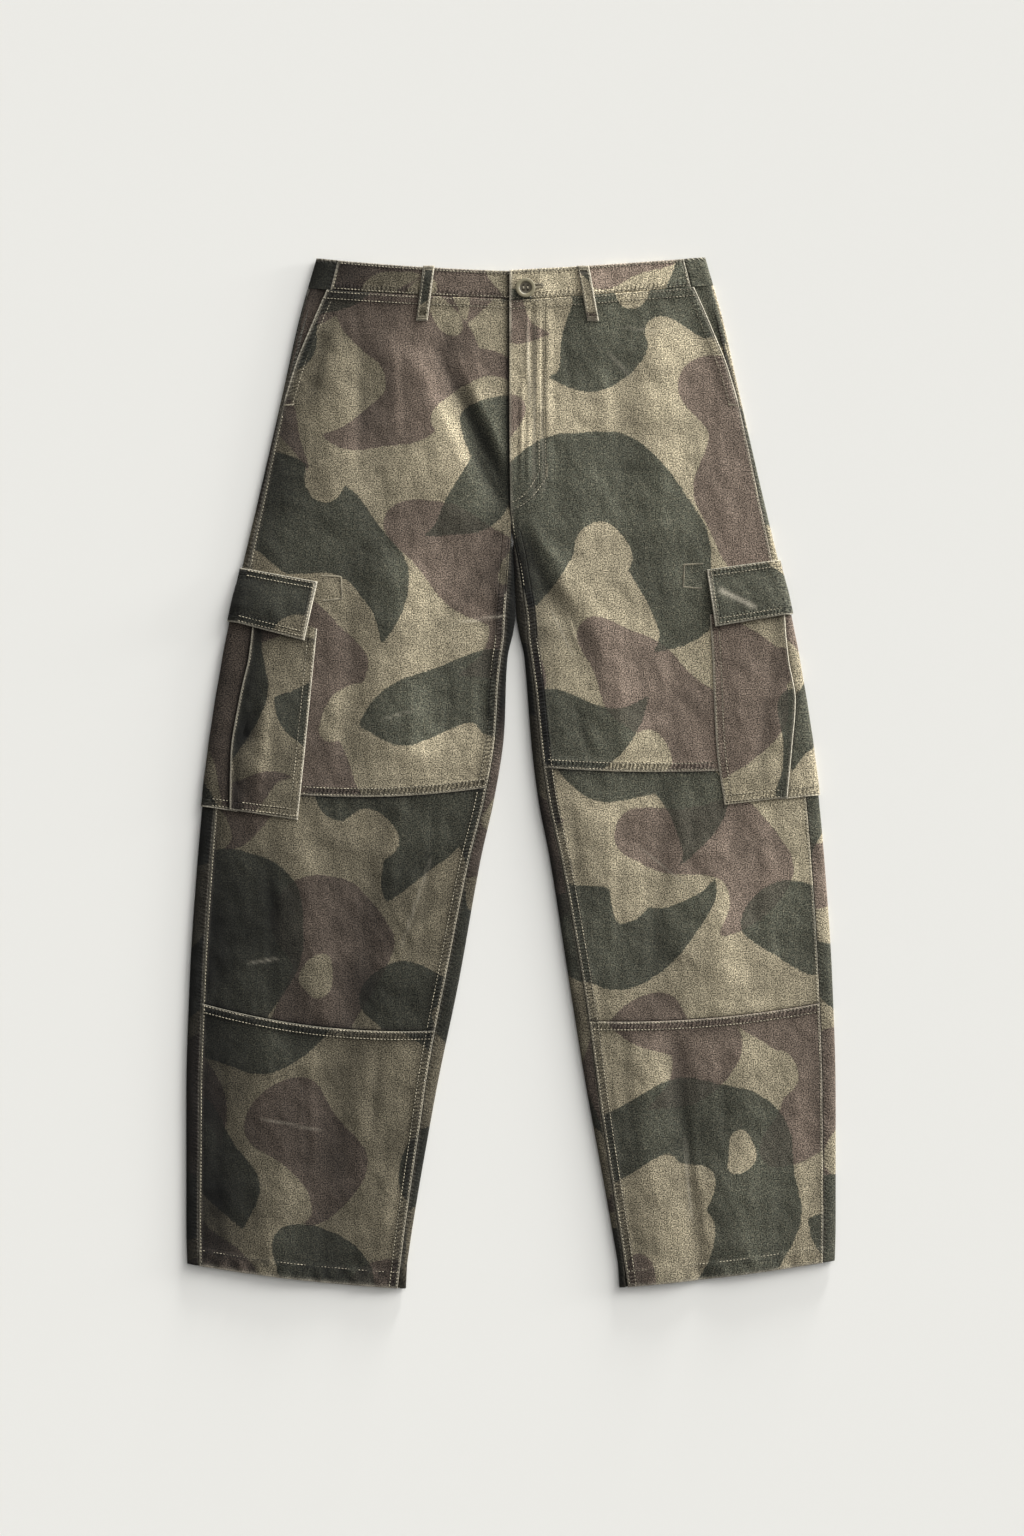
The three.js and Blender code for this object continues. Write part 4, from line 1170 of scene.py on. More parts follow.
def front_panel(side, piece, upper, lower):
    """One of a leg's three front panels, between two lines across the leg."""
    name = f"front_{piece}_{side['name']}"
    seed = 20 + len(name)
    at = front_places(side, piece, upper, lower)
    outer_z, inner_z = front_faces(side, piece, at, seed)
    ticks = front_gathers(piece, at)
    fields = {
        "worn": front_wear(side, piece, at),
        "ticks_across": ticks[0],
        "ticks_along": ticks[1],
        "inside": front_stitched(side, piece, at),
        "painted_shade_and_dye": front_painted_shade(side, piece, at, ticks, seed),
    }
    cloth_piece(name, side, (at.q, at.drop, outer_z), (at.q, at.drop, inner_z), (at.x, at.drop), fields,
                f"back_{side['name']}", flat=FRONTS[piece]["flat"], area=FRONTS[piece]["area"])


def front_panels(side):
    above, below, hem = leg_seams(side)
    front_panel(side, "thigh", lambda q: waist_seam(side, q) + GAP, above)
    front_panel(side, "knee", lambda q: above(q) + GAP, below)
    front_panel(side, "shin", lambda q: below(q) + GAP, hem)


def back_outset(drop):
    """How far inside the outer fold the back ends, over the top."""
    front = read(EDGES, "outseam", drop) - SEAM
    return mix(HAND_POCKET["seam"], front, past(drop, HAND_POCKET["bottom"], 20))


def wall_point(side, fold, around, drop, off, at_edge):
    """A point on a face of the cloth. At a cut edge the inner face lies straight under the outer."""
    if not at_edge:
        return skin(side, fold, around, drop, off)
    q, z = skin(side, fold, around, drop, 0.0)
    return q, z + off


def run_along(q, z):
    """Distance along the cloth from the first line of points to each other one."""
    return np.cumsum(np.hypot(np.diff(q, axis=1, prepend=q[:, :1]),
                              np.diff(z, axis=1, prepend=z[:, :1])), axis=1)


# The lines that curl round the inner fold lie flat above the crotch, spread over this width.
CURL_WIDE, CURL_LINES = 22.0, 26


def back_columns():
    """Kind and place of each line of points down a back, from the outseam round to the inseam."""
    reach, soft = POCKET_UNDER["reach"] + POCKET_UNDER["clear"], POCKET_UNDER["soft"]
    columns = [("over", share) for share in (0, 0.02, 0.06, 0.12, 0.22, 0.36, 0.5, 0.66, 0.82)]
    columns += [("roll", around) for around in np.linspace(QUARTER, -QUARTER, 17)]
    columns += [("inset", inset) for inset in (8, 18, 28, reach, reach + soft / 2, reach + soft)]
    columns += [("flat", share) for share in np.linspace(0, 1, 16)[1:-1]]
    columns += [("curl", around) for around in np.linspace(-QUARTER, QUARTER, 17)]
    over = (0.18, 0.34, 0.5, 0.64, 0.78, 0.88, 0.94, 0.98, 1.0)
    return columns + [("curl over", share) for share in over]


def back_line(side, kind, value, from_last, drop, off):
    """q, z and the distance from the cut edge, for one line of points down a back."""
    outer, inner = outer_fold(drop), inner_fold(side, drop)
    curl = smooth((drop - CROTCH["curl"][0]) / (CROTCH["curl"][1] - CROTCH["curl"][0]))
    seam = inner + GAP / 2
    if kind in ("over", "roll"):
        over = around_to(back_outset(drop))
        if kind == "over":
            around = np.maximum(mix(over, QUARTER, value), np.minimum(over, QUARTER))
        else:
            around = np.minimum(value, over)
        at_edge = kind == "over" and value == 0
        q, z = wall_point(side, "outer", around, drop, off, at_edge)
        return q, z, over - around
    if kind in ("inset", "flat"):
        start = outer - ROLL - POCKET_UNDER["reach"] - POCKET_UNDER["clear"] - POCKET_UNDER["soft"]
        end = mix(seam + CURL_WIDE, inner + ROLL, curl)
        q = outer - ROLL - value if kind == "inset" else mix(start, end, value)
        return q, lift(side, outer - q, drop) - off, FAR + 0 * q
    laid_q = seam + from_last * CURL_WIDE / CURL_LINES
    laid_z = lift(side, outer - laid_q, drop) - off
    over = around_to(read(EDGES, "inseam", drop) - SEAM)
    reach_over = np.maximum(over, 0.0)
    if kind == "curl":
        around = np.minimum(value + 0 * over, reach_over)
    else:
        around = np.maximum(mix(np.minimum(QUARTER, reach_over), reach_over, value), 0)
    rolled_q, rolled_z = wall_point(side, "inner", around, drop, off, value == 1.0)
    return mix(laid_q, rolled_q, curl), mix(laid_z, rolled_z, curl), reach_over - around


def back_face(side, drop, off):
    """One face of a back: grids of q, z and the distance from the cut edge."""
    columns = back_columns()
    lines = [back_line(side, kind, value, len(columns) - 1 - i, drop, off)
             for i, (kind, value) in enumerate(columns)]
    return [np.concatenate([part + 0 * drop for part in parts], axis=1) for parts in zip(*lines)]


def back_panel(side):
    """The back lies on the table, rolls over the outer fold, and below the crotch the inner one."""
    first, last = 34.0, 1015.0
    rows = np.concatenate([[first], np.arange(40, 1010, 5.0), [last]])[:, None]
    outer_q, outer_z, from_edge = back_face(side, rows, 0.0)
    inner_q, inner_z, _ = back_face(side, rows, -CLOTH)
    drop = rows + 0 * outer_q
    # The end rows follow the waist seam and the hem, where the outline has moved a little.
    ends = drop.copy()
    ends[0] = waist_seam(side, outer_q[0]) + GAP
    outer, inner = float(outer_fold(last)), float(inner_fold(side, last))
    ends[-1] = across(side["hem"], (outer - outer_q[-1]) / (outer - inner))
    ends[-2] = np.minimum(ends[-2], ends[-1] - 1.2)
    for row, nominal in ((0, first), (-1, last)):
        shift = outer_fold(ends[row]) - outer_fold(nominal)
        outer_q[row] += shift * clamp(outer_q[row] / outer_fold(nominal))
        inner_q[row] += shift * clamp(inner_q[row] / outer_fold(nominal))
    top = outer_z > 2.4
    wrinkle = puckers(drop, from_edge, 41, 9, 0.25) * top
    outer_z = outer_z + wrinkle - np.where(top, edge_round(from_edge, 0.35), 0)
    inner_z = np.where(top, np.minimum(inner_z, outer_z - 0.4), inner_z)
    # Painted shade: the strips of the backs between the legs are painted dark as shadow at the crotch,
    # and a line of shade runs along the cut edge.
    painted_shade_and_dye = painted_shade_and_fade(side, outer_q, drop) * np.where(top, 1.0, 0.4)
    painted_crotch_shadow = past(drop, 275, 40) * before(drop, 520, 130) * (outer_q < 60)
    fields = {
        "worn": 0.12 * worn_edge(from_edge, 0.8),
        "ticks_along": 0.5 * near(from_edge, 3) * top,
        "painted_shade_and_dye": painted_shade_and_dye - 0.75 * painted_crotch_shadow - 0.28 * near(from_edge, 1.6),
    }
    cut = side["sign"] * (300 - run_along(outer_q, outer_z)), drop
    cloth_piece(f"back_{side['name']}", side, (outer_q, ends, outer_z), (inner_q, ends, inner_z),
                cut, fields, "floor", flat=(0.330, 1.000), area=0.275)


def pocket_facing(side):
    """The facing that shows in the slant opening and runs on under the front's edge."""
    lines = [("from", share) for share in (0, 0.08, 0.25, 0.5, 0.75, 0.92)]
    lines += [("past", under) for under in (-0.6, 2, 5.5, 9, HAND_POCKET["under"])]
    t = spaced(112, 3.5)[:, None]

    def inset(drop, kind, value):
        edge = read(EDGES, "outseam", drop)
        if kind == "past":
            return edge + value
        return mix(HAND_POCKET["seam"] + SEAM, edge - 0.6, value)

    parts = []
    for kind, value in lines:
        start = waist_seam(side, outer_fold(34) - inset(34.0, kind, value)) + GAP
        drop = mix(start, HAND_POCKET["bottom"], t)
        q = outer_fold(drop) - inset(drop, kind, value)
        tucked = smooth(value) if kind == "from" else 1.0
        parts.append((q, top_cloth(side, q, drop)[0] - (CLOTH + GAP) * tucked, drop))
    q, z, drop = (np.concatenate(part, axis=1) for part in zip(*parts))
    # Painted shade as on the leg, and a little darker.
    painted_shade_and_dye = painted_shade_and_fade(side, outer_fold(drop) - 40 + 0 * q, drop) - 0.1
    cloth_piece(f"pocket_facing_{side['name']}", side, (q, drop, z), (q, drop, z - FACING),
                (side["sign"] * q, drop), {"painted_shade_and_dye": painted_shade_and_dye}, f"back_{side['name']}",
                flat=(0.032, 0.120), area=0.0028)


def front_band(side):
    """Half of the front waistband. The left one laps over the right at the fly."""
    wide = 205 if side is RIGHT else 182
    s, t = spaced(wide, 1.3)[None, :], spaced(33, 1.3)[:, None]
    end = float(middle(side, 20.0)) + (-LAP["underlap"] if side is RIGHT else GAP)

    def at(drop):
        return mix(band_seam(drop) - GAP, end, s)

    start, finish = waist_top(side, at(5.0)), waist_seam(side, at(34.0))
    drop = mix(start, finish, t)
    q = at(drop)
    x = side["sign"] * q
    from_top, from_bottom = drop - start, finish - drop
    from_end, from_side = np.abs(q - end), band_seam(drop) - GAP - q
    z = top_cloth(side, q, drop)[0] + lap_proud(side, q)
    gathered = z + puckers(x, from_top, 61, 9, 0.3) + puckers(x, from_bottom, 63, 10, 0.3)
    gathered = gathered + 0.18 * ripples(x, drop, 16, 64)
    outer_z = gathered - edge_round(least(from_top, from_bottom, from_end, from_side), 0.6, 1.5)
    worn = most(0.5 * worn_edge(from_top, 0.9), 0.75 * worn_edge(from_side, 1.2))
    ticks = most(0.8 * channel(from_top, 0, 4), 0.7 * channel(from_bottom, 0, 6))
    # Painted shade along the band's lower seam and in its gathers.
    painted_shade_and_dye = painted_shade_and_fade(side, q, drop) - 0.12 * near(from_bottom, 1.3) - 0.12 * ticks
    if side is LEFT:
        worn = most(worn, 0.95 * worn_edge(from_end, 1.5))
        # The buttonhole's slit is painted dark as shade, and the left band is a little lighter.
        slit = {"x": (20, 31.5), "drop": (28.6, 27.4), "wide": 0.9, "height": 0.6}
        painted_shade_and_dye = painted_shade_and_dye + 0.06 - ridge(slit, x, drop)[1]
    else:
        # The right band is a little darker, with a painted shadow of the left band's lap beside the
        # middle.
        painted_shade_and_dye = painted_shade_and_dye - 0.05 - 0.5 * near(np.maximum(q - middle(side, drop), 0), 2.4)
    fields = {
        "worn": clamp(worn),
        "ticks_across": ticks,
        "ticks_along": 0.35 * near(from_side, 3),
        "inside": least(from_top - 0.8, from_bottom - 0.2, from_side - 0.6, 5.0),
        "painted_shade_and_dye": painted_shade_and_dye,
    }
    cloth_piece(f"waistband_front_{side['name']}", side, (q, drop, outer_z), (q, drop, z - BAND),
                (x, drop), fields, "waistband_back", flat=(wide / 1000, 0.034))


def band_line(side, kind, value, t, off):
    """x, drop, z and the distance from the cut ends, for a line of points across the back band."""

    def at(drop, off):
        if kind == "flat":
            q = (outer_fold(drop) - ROLL) * (1 - value)
            return q, lift(side, 99.0, drop) - off, 50.0 + 0 * q
        over = around_to(outer_fold(drop) - band_seam(drop))
        around = mix(over, QUARTER, value) if kind == "over" else value + 0 * over
        q, z = wall_point(side, "outer", around, drop, off, kind == "over" and value == 0)
        return q, z, over - around

    start, end = waist_top(side, at(5.0, 0.0)[0]), waist_seam(side, at(34.0, 0.0)[0])
    drop = mix(start, end, t)
    q, z, fringe = at(drop, off)
    return [part + 0 * drop for part in (side["sign"] * q, drop, z, fringe)]


def back_band():
    """The back waistband, round both folds to the ends of the front ones, as one piece."""
    lines = [("over", share) for share in (0, 0.03, 0.1, 0.25, 0.5, 0.75)]
    lines += [("roll", around) for around in np.linspace(QUARTER, -QUARTER, 15)]
    lines += [("flat", share) for share in np.linspace(0, 1, 22)[1:-1]]
    t = spaced(31, 2.2)[:, None]
    row = t * 31

    def face(off):
        right = [band_line(RIGHT, kind, value, t, off) for kind, value in lines + [("flat", 1.0)]]
        left = [band_line(LEFT, kind, value, t, off) for kind, value in lines[::-1]]
        return [np.concatenate(parts, axis=1) for parts in zip(*(right + left))]

    x, drop, z, fringe = face(0.0)
    inner_x, _, inner_z, _ = face(-BAND)
    top = z > 3.0
    z = z - np.where(top, edge_round(fringe, 0.6, 1.6), 0)
    # Painted shade as on the legs, and a painted line of shade at the cut ends beside the front bands.
    painted_shade_and_dye = np.where(x < 0, painted_shade_and_fade(RIGHT, np.abs(x), drop), painted_shade_and_fade(LEFT, np.abs(x), drop))
    fields = {
        "worn": np.where(top, 0.5 * worn_edge(row, 0.9), 0),
        "ticks_across": 0.7 * channel(row, 0, 3),
        "ticks_along": 0.4 * near(fringe, 3),
        "painted_shade_and_dye": painted_shade_and_dye - 0.3 * near(fringe, 1.5) - 0.03,
    }
    cloth_piece("waistband_back", None, (x, drop, z), (inner_x, drop, inner_z),
                (run_along(x, z), drop), fields, "floor", flat=(0.460, 0.034))


def front_loop(side):
    """A folded strap, sewn down at both ends, with a slot for the belt behind it."""
    (x0, x1), (d0, d1) = side["loop_x"], side["loop_drop"]
    length = math.hypot(x1 - x0, d1 - d0)
    t = spaced(length, 1.6)[:, None]
    s = (spaced(STRAP["wide"], 1.5)[None, :] - 0.5) * STRAP["wide"]
    drop = mix(d0, d1, t) + 0 * s
    x = mix(x0, x1, t) + s
    q = side["sign"] * x
    from_end = np.minimum(t, 1 - t) * length
    proud = np.where(drop > waist_seam(side, q) - 1, ALLOWANCE["proud"], 0.0)
    slot = STRAP["clear"] * smooth(clamp(from_end / 12))
    base = top_cloth(side, q, drop)[0] + GAP + np.maximum(proud, slot)
    edge = STRAP["wide"] / 2 - np.abs(s) + 0 * drop
    z = base + STRAP["thick"] - edge_round(np.minimum(edge, from_end), 0.5, 1.2)
    z = z + 0.12 * ripples(x, drop, 7, 71) - 0.25 * np.exp(-((edge - 2.3) ** 2) / 0.5)
    # The edge towards the wearer's left is painted paler as a highlight, on top of the wear on both
    # edges.
    wear_and_lit_edge = np.where(s > 0, 0.9, 0.35)
    fields = {
        "worn": clamp(wear_and_lit_edge * worn_edge(edge, 0.9) + 0.7 * worn_edge(from_end, 0.8)),
        "ticks_along": 0.35 * channel(edge, 1.4, 3.2, 0.8),
        # The loops are darker, and the right one is painted darker still as shade, as on its leg.
        "painted_shade_and_dye": 0.05 * ripples(x, drop, 9, 72) - 0.18 * (side is RIGHT) - 0.17,
    }
    cloth_piece(f"belt_loop_front_{side['name']}", side, (q, drop, z), (q, drop, base), (x, drop),
                fields, f"waistband_front_{side['name']}", flat=(0.0115, 0.056))


def back_loop(place, x):
    """A strap on the back waistband, flat on the table."""
    t = spaced(53, 2.5)[:, None]
    s = (spaced(STRAP["wide"], 1.8)[None, :] - 0.5) * STRAP["wide"]
    drop = mix(15.0, 68.0, t) + 0 * s
    x = x + s + 0 * drop
    fields = {"worn": 0.3 * worn_edge(STRAP["wide"] / 2 - np.abs(s)), "painted_shade_and_dye": -0.1}
    cloth_piece(f"belt_loop_back_{place}", None, (x, drop, 0 * x + LOOP), (x, drop, 0 * x),
                (x, drop), fields, "floor", flat=(0.0115, 0.053))


# Slack folds in the front halves of the cargo pockets.
POCKET_SAGS = {
    "right": table(
        "x drop wide height",
        ((-226, -264), (378, 475), 8, -2.0),
        ((-238, -252), (385, 540), 7, 1.5),
    ),
    "left": table(
        "x drop wide height",
        ((236, 250), (368, 425), 8, 1.2),
        ((262, 250), (380, 530), 8, -1.5),
    ),
}


def pocket_front_off(side, share, t, drop, q):
    """How far each face of a cargo pocket's front half is off the leg: the outer, the inner."""
    opened = smooth(share * 1.5) * (CLOTH + GAP)
    down = smooth((t - 0.15) * 1.6) * smooth((1 - t) * 4)
    full = POCKET_FULL * np.sin(np.pi * clamp(share)) * down
    sag = sum(ridge(line, side["sign"] * q, drop)[1] for line in POCKET_SAGS[side["name"]])
    fold = PLEAT["fold"] * past(share, 0.95, 0.03)
    under = GAP + opened + full
    return under + (CLOTH + fold + sag * smooth(share * 5) * down), under


def pocket_front(side):
    """The front half of a cargo pocket, from its inner edge to the fold of the pleat."""
    (high0, high1), (low0, low1) = side["flap_bottom"], side["pocket_bottom"]
    share = spaced(70, 2.2)[None, :]
    t = spaced(190, 2.4)[:, None]
    start = mix(high1, high0, share) - 12
    end = mix(low1, low0, share * 0.75)
    drop = mix(start, end, t)
    inner, pleat = pocket_inner(side, drop), read(side["pocket"], "pleat", drop)
    q = mix(inner, pleat, share)
    x = side["sign"] * q
    around = around_to(outer_fold(drop) - q)
    from_inner, from_pleat = share * (pleat - inner), (1 - share) * (pleat - inner)
    from_bottom = end - drop
    outer_off, inner_off = pocket_front_off(side, share, t, drop, q)
    off = outer_off - edge_round(least(from_inner, from_pleat, from_bottom), 0.7, 1.5)
    off = off + puckers(x, from_bottom, 81, 12, 0.3)
    off = off + puckers(drop, from_inner, 83, 8, 0.22) + 0.15 * ripples(x, drop, 24, 85)
    outer_q, outer_z = skin(side, "outer", around, drop, off)
    inner_q, inner_z = skin(side, "outer", around, drop, inner_off)
    # Painted shade: a darker band inside the pleat's fold, and the sags' ridges lighter and their
    # hollows darker.
    painted_shade_and_dye = painted_shade_and_fade(side, q, drop) - 0.06 - 0.14 * np.exp(-((from_pleat - 7) ** 2) / 40)
    painted_shade_and_dye = painted_shade_and_dye + 0.15 * (outer_off - inner_off - CLOTH)
    # A painted shadow just under the flap.
    painted_shadow_under_flap = 0.35 * near(drop - start - 12, 5) * (drop > start + 10)
    fields = {
        "worn": clamp(most(0.85 * worn_edge(from_inner, 0.8), 0.9 * worn_edge(from_pleat, 0.8),
                           0.6 * worn_edge(from_bottom, 0.7))),
        "ticks_across": 0.5 * channel(from_bottom, 1.5, 9),
        "ticks_along": 0.25 * channel(from_inner, 1.5, 7),
        "inside": least(from_inner, from_bottom, np.where(from_pleat < 4, from_pleat, FAR)),
        "painted_shade_and_dye": painted_shade_and_dye - painted_shadow_under_flap,
    }
    cloth_piece(f"cargo_pocket_front_{side['name']}", side, (outer_q, drop, outer_z),
                (inner_q, drop, inner_z), (x, drop), fields, f"front_thigh_{side['name']}",
                flat=(0.074, 0.200))


def round_the_fold(over, over_shares, under_shares):
    """Distances along the cloth, from `over` on the top, round the tip and underneath."""
    lines = [mix(over, QUARTER, s) for s in over_shares]
    lines += [a + 0 * over for a in np.linspace(QUARTER, -QUARTER, 19)]
    lines += [-QUARTER - POCKET_UNDER["reach"] * s + 0 * over for s in under_shares]
    return np.concatenate(lines, axis=1)


def pocket_rear(side):
    """The rear half of a cargo pocket, from under the pleat, round the outer fold."""
    (high0, high1), (low0, low1) = side["flap_bottom"], side["pocket_bottom"]
    t = spaced(190, 3.0)[:, None]
    roughly = mix(float(high0), float(low0), t)
    under = outer_fold(roughly) - read(side["pocket"], "pleat", roughly) + PLEAT["tuck"]
    over = np.maximum(around_to(under), QUARTER + 1.5)
    around = round_the_fold(over, np.linspace(0, 1, 13)[:-1], (0.1, 0.25, 0.5, 0.75, 0.9, 1))
    slope = clamp(around / 90)
    start = mix(high0, high1, slope) + 1 - 13 * past(around, QUARTER, 4)
    end = mix(low0, low1, slope)
    drop = mix(start, end, t)
    from_bottom = end - drop
    above = around > -6
    off = GAP + CLOTH + puckers(around, from_bottom, 91, 10, 0.2) * above
    off = off + 0.15 * ripples(around, drop, 30, 93) * above
    outer_q, outer_z = skin(side, "outer", around, drop, off)
    inner_q, inner_z = skin(side, "outer", around, drop, GAP + 0 * off)
    from_pleat = np.abs(outer_q - read(side["pocket"], "pleat", drop))
    fields = {
        "worn": 0.6 * worn_edge(from_bottom, 0.9),
        "ticks_across": 0.5 * channel(from_bottom, 1.5, 9),
        "inside": from_bottom,
        # Painted shade as on the leg, and a painted shadow line under the front half's pleat fold.
        "painted_shade_and_dye": 0.8 * painted_shade_and_fade(side, outer_q, drop) - 0.02 - 0.45 * near(from_pleat, 2.2),
    }
    cloth_piece(f"cargo_pocket_rear_{side['name']}", side, (outer_q, drop, outer_z),
                (inner_q, drop, inner_z), (side["sign"] * (300 - around), drop), fields,
                f"back_{side['name']}", flat=(0.086, 0.196))


# Lines of a flap over the top, as shares of the way from its inner edge to the outer fold.
FLAP_LINES = np.concatenate([np.array(EDGE_LINES) / 80, np.linspace(0.045, 1, 30)[:-1]])


def pocket_flap(side):
    """A cargo flap, sewn down at its top and standing over the pocket, round the outer fold."""
    (top0, top1), (low0, low1) = side["flap_top"], side["flap_bottom"]
    t = spaced(55, 2.2)[:, None]
    roughly = mix(float(top0), float(low0), t)
    over = around_to(outer_fold(roughly) - mix(*side["flap_inner"], t))
    around = round_the_fold(over, FLAP_LINES, (0.1, 0.25, 0.5, 0.75, 1))
    share = clamp(around / over)
    start, end = mix(top0, top1, share), mix(low0, low1, share)
    drop = mix(start, end, t)
    standing = FLAP_STAND * smooth(t * 1.45) * past(around, -3, 9)
    from_top, from_bottom, from_inner = drop - start, end - drop, over - around
    rim = least(from_top, from_bottom, from_inner)
    above = around > -5
    gathered = puckers(around, from_bottom, 101, 9, 0.25) + puckers(around, from_top, 103, 9, 0.25)
    off = GAP + standing + FLAP - edge_round(rim, 0.8, 1.6) + gathered * above
    off = off + 0.2 * ripples(around, drop, 22, 105) * above
    outer_q, outer_z = skin(side, "outer", around, drop, off)
    inner_q, inner_z = skin(side, "outer", around, drop, GAP + standing)
    worn = most(0.75 * worn_edge(from_bottom, 0.8), 0.95 * worn_edge(from_inner, 1.7),
                0.5 * worn_edge(from_top, 0.7))
    if side is LEFT:
        rub = {"x": (210, 242), "drop": (333, 349), "wide": 2.6, "height": 0.5}
        worn = worn + ridge(rub, outer_q, drop)[1] * above
    fields = {
        "worn": clamp(worn),
        "ticks_across": most(0.6 * channel(from_bottom, 1.5, 9), 0.5 * channel(from_top, 1, 8)),
        "ticks_along": 0.4 * channel(from_inner, 1.5, 7),
        "inside": 1.8 + 1.4 * (rim - 1.8),
        "painted_shade_and_dye": painted_shade_and_fade(side, outer_q, drop) - 0.08,
    }
    cloth_piece(f"cargo_flap_{side['name']}", side, (outer_q, drop, outer_z),
                (inner_q, drop, inner_z), (side["sign"] * (300 - around), drop), fields,
                f"cargo_pocket_front_{side['name']}", flat=(0.128, 0.060))


for side in SIDES:
    back_panel(side)
    front_panels(side)
    pocket_facing(side)
    front_band(side)
    front_loop(side)
    pocket_front(side)
    pocket_rear(side)
    pocket_flap(side)
back_band()
for loop_name, loop_x in (("right", -98), ("centre", 0), ("left", 98)):
    back_loop(loop_name, loop_x)


# Stitches in mm. The cloth's height is read over the length `long`. A stitch's own ends lie `reach`
# from its middle and go down by `droop` more.
STITCH = {"long": 2.6, "pitch": 3.4, "thick": 0.42, "proud": 0.3, "reach": 1.3, "droop": 0.0}
TACK = {"long": 2.2, "pitch": 0.95, "thick": 0.36, "proud": 0.25, "reach": 1.1, "droop": 0.0}
BAR = {"long": 1.8, "pitch": 5.0, "thick": 0.36, "proud": 0.6, "reach": 1.9, "droop": 0.8}


def cotton_thread():
    """Spun cotton topstitch thread, washed with the garment: dull, pale, and dirty in places."""
    finish = Finish("washed cotton thread")
    place = finish.add("TexCoord", {})["Object"]
    dirt = finish.spread(finish.noise(place, 90.0, 3.0), from_min=0.35, from_max=0.65)
    colour = finish.blend(dirt, "#aba28b", "#6d6656")
    normal = finish.bump(finish.noise(place, 2500.0), 0.4, 0.0002)
    finish.fill(finish.shader, {"Roughness": 0.88, "Sheen Weight": 0.08, "Base Color": colour,
                                "Normal": normal})
    return finish.material


THREAD = cotton_thread()


def along(row, pitch):
    """Places a pitch apart on a row of (x, drop) points, and the way that it runs there."""
    row = np.asarray(row, float)
    reach = np.concatenate([[0], np.cumsum(np.hypot(*np.diff(row, axis=0).T))])
    at = np.arange(pitch / 2, reach[-1], pitch)

    def place(further):
        return np.stack([np.interp(at + further, reach, row[:, i]) for i in (0, 1)], 1)

    way = place(0.6) - place(-0.6)
    return place(0), way / np.hypot(*way.T)[:, None]


TREES = {}


def surface(host, places):
    """Height in mm of a piece's top at each place, or -1 beside it."""
    if host not in TREES:
        mesh = bpy.data.objects[host].data
        TREES[host] = BVHTree.FromPolygons(
            [v.co for v in mesh.vertices], [tuple(p.vertices) for p in mesh.polygons]
        )
    heights = []
    for x, drop in places:
        where = TREES[host].ray_cast((x / 1000, (WAIST_Y - drop) / 1000, 0.1), (0, 0, -1))[0]
        heights.append(-1.0 if where is None else where.z * 1000)
    return np.array(heights)


# Rings of four points along a stitch: how far along its half length, and how thick.
STITCH_RINGS = ((-1, 0.15), (-0.55, 1), (0.55, 1), (1, 0.15))


def stitch_points(place, way, heights, kind, grow):
    """The points of one stitch, thin at both ends, where it goes into the cloth."""
    (x, drop), (along_x, along_drop), (z0, z1, z2) = place, way, heights
    points = []
    for s, swell in STITCH_RINGS:
        z = mix(z1, z0 if s < 0 else z2, abs(s)) + kind["proud"] * (swell - 0.5)
        z -= kind["droop"] * (swell < 1)
        ring_x, ring_drop = x + s * along_x * kind["reach"], drop + s * along_drop * kind["reach"]
        thick = kind["thick"] * swell * grow
        for sideways, up in ((1, 0), (0, 1), (-1, 0), (0, -1)):
            px = ring_x - along_drop * thick * sideways
            pd = ring_drop + along_x * thick * sideways
            points.append((px / 1000, (WAIST_Y - pd) / 1000, (z + up * thick) / 1000))
    return points


def stitch_faces(first):
    """The faces of a stitch whose points start at `first`."""
    faces = []
    for ring in range(first, first + 12, 4):
        for i in range(4):
            j = (i + 1) % 4
            faces.append([ring + i, ring + j, ring + 4 + j, ring + 4 + i])
    return faces + [[first + i for i in (3, 2, 1, 0)], [first + i for i in (12, 13, 14, 15)]]


def sew(name, rows, kind=STITCH, crosswise=False):
    """Rows of raised stitches, each on its piece, joined as one mesh."""
    rng = np.random.RandomState(len(name))
    points, faces = [], []
    for host, row in rows:
        places, ways = along(row, kind["pitch"])
        if crosswise:
            ways = np.stack([-ways[:, 1], ways[:, 0]], 1)
        half = ways * kind["long"] / 2
        heights = np.stack([surface(host, places + s * half) for s in (-1, 0, 1)], 1)
        sound = (heights > 0).all(1)
        sound &= (np.abs(heights[:, 0] - heights[:, 1]) < 0.9)
        sound &= (np.abs(heights[:, 2] - heights[:, 1]) < 0.9)
        for place, way, high in zip(places[sound], ways[sound], heights[sound]):
            faces += stitch_faces(len(points))
            points += stitch_points(place, way, high, kind, rng.uniform(0.85, 1.1))
    mesh = bpy.data.meshes.new(name)
    mesh.from_pydata(points, [], faces)
    shape = bmesh.new()
    shape.from_mesh(mesh)
    bmesh.ops.recalc_face_normals(shape, faces=shape.faces)
    shape.to_mesh(mesh)
    shape.free()
    mesh.shade_smooth()
    mesh.materials.append(THREAD)
    made = bpy.data.objects.new(name, mesh)
    bpy.context.scene.collection.objects.link(made)
    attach(made, "root")


def route(side, places):
    """Points (q, drop) of one side as points (x, drop)."""
    return [(side["sign"] * float(q), float(drop)) for q, drop in places]


def level(side, line, start, end, shift):
    """A route along a seam that runs across the leg, shifted down by some millimetres."""
    return route(side, [(q, line(q) + shift) for q in np.linspace(start, end, 40)])


def upright(side, line, start, end, shift):
    """A route along an edge that runs down the leg, shifted outwards by some millimetres."""
    return route(side, [(line(d) + shift, d) for d in np.linspace(start, end, 60)])


# Where the two rows of a felled seam lie, inside its edge.
TWIN_ROWS = (1.8, 8.4)


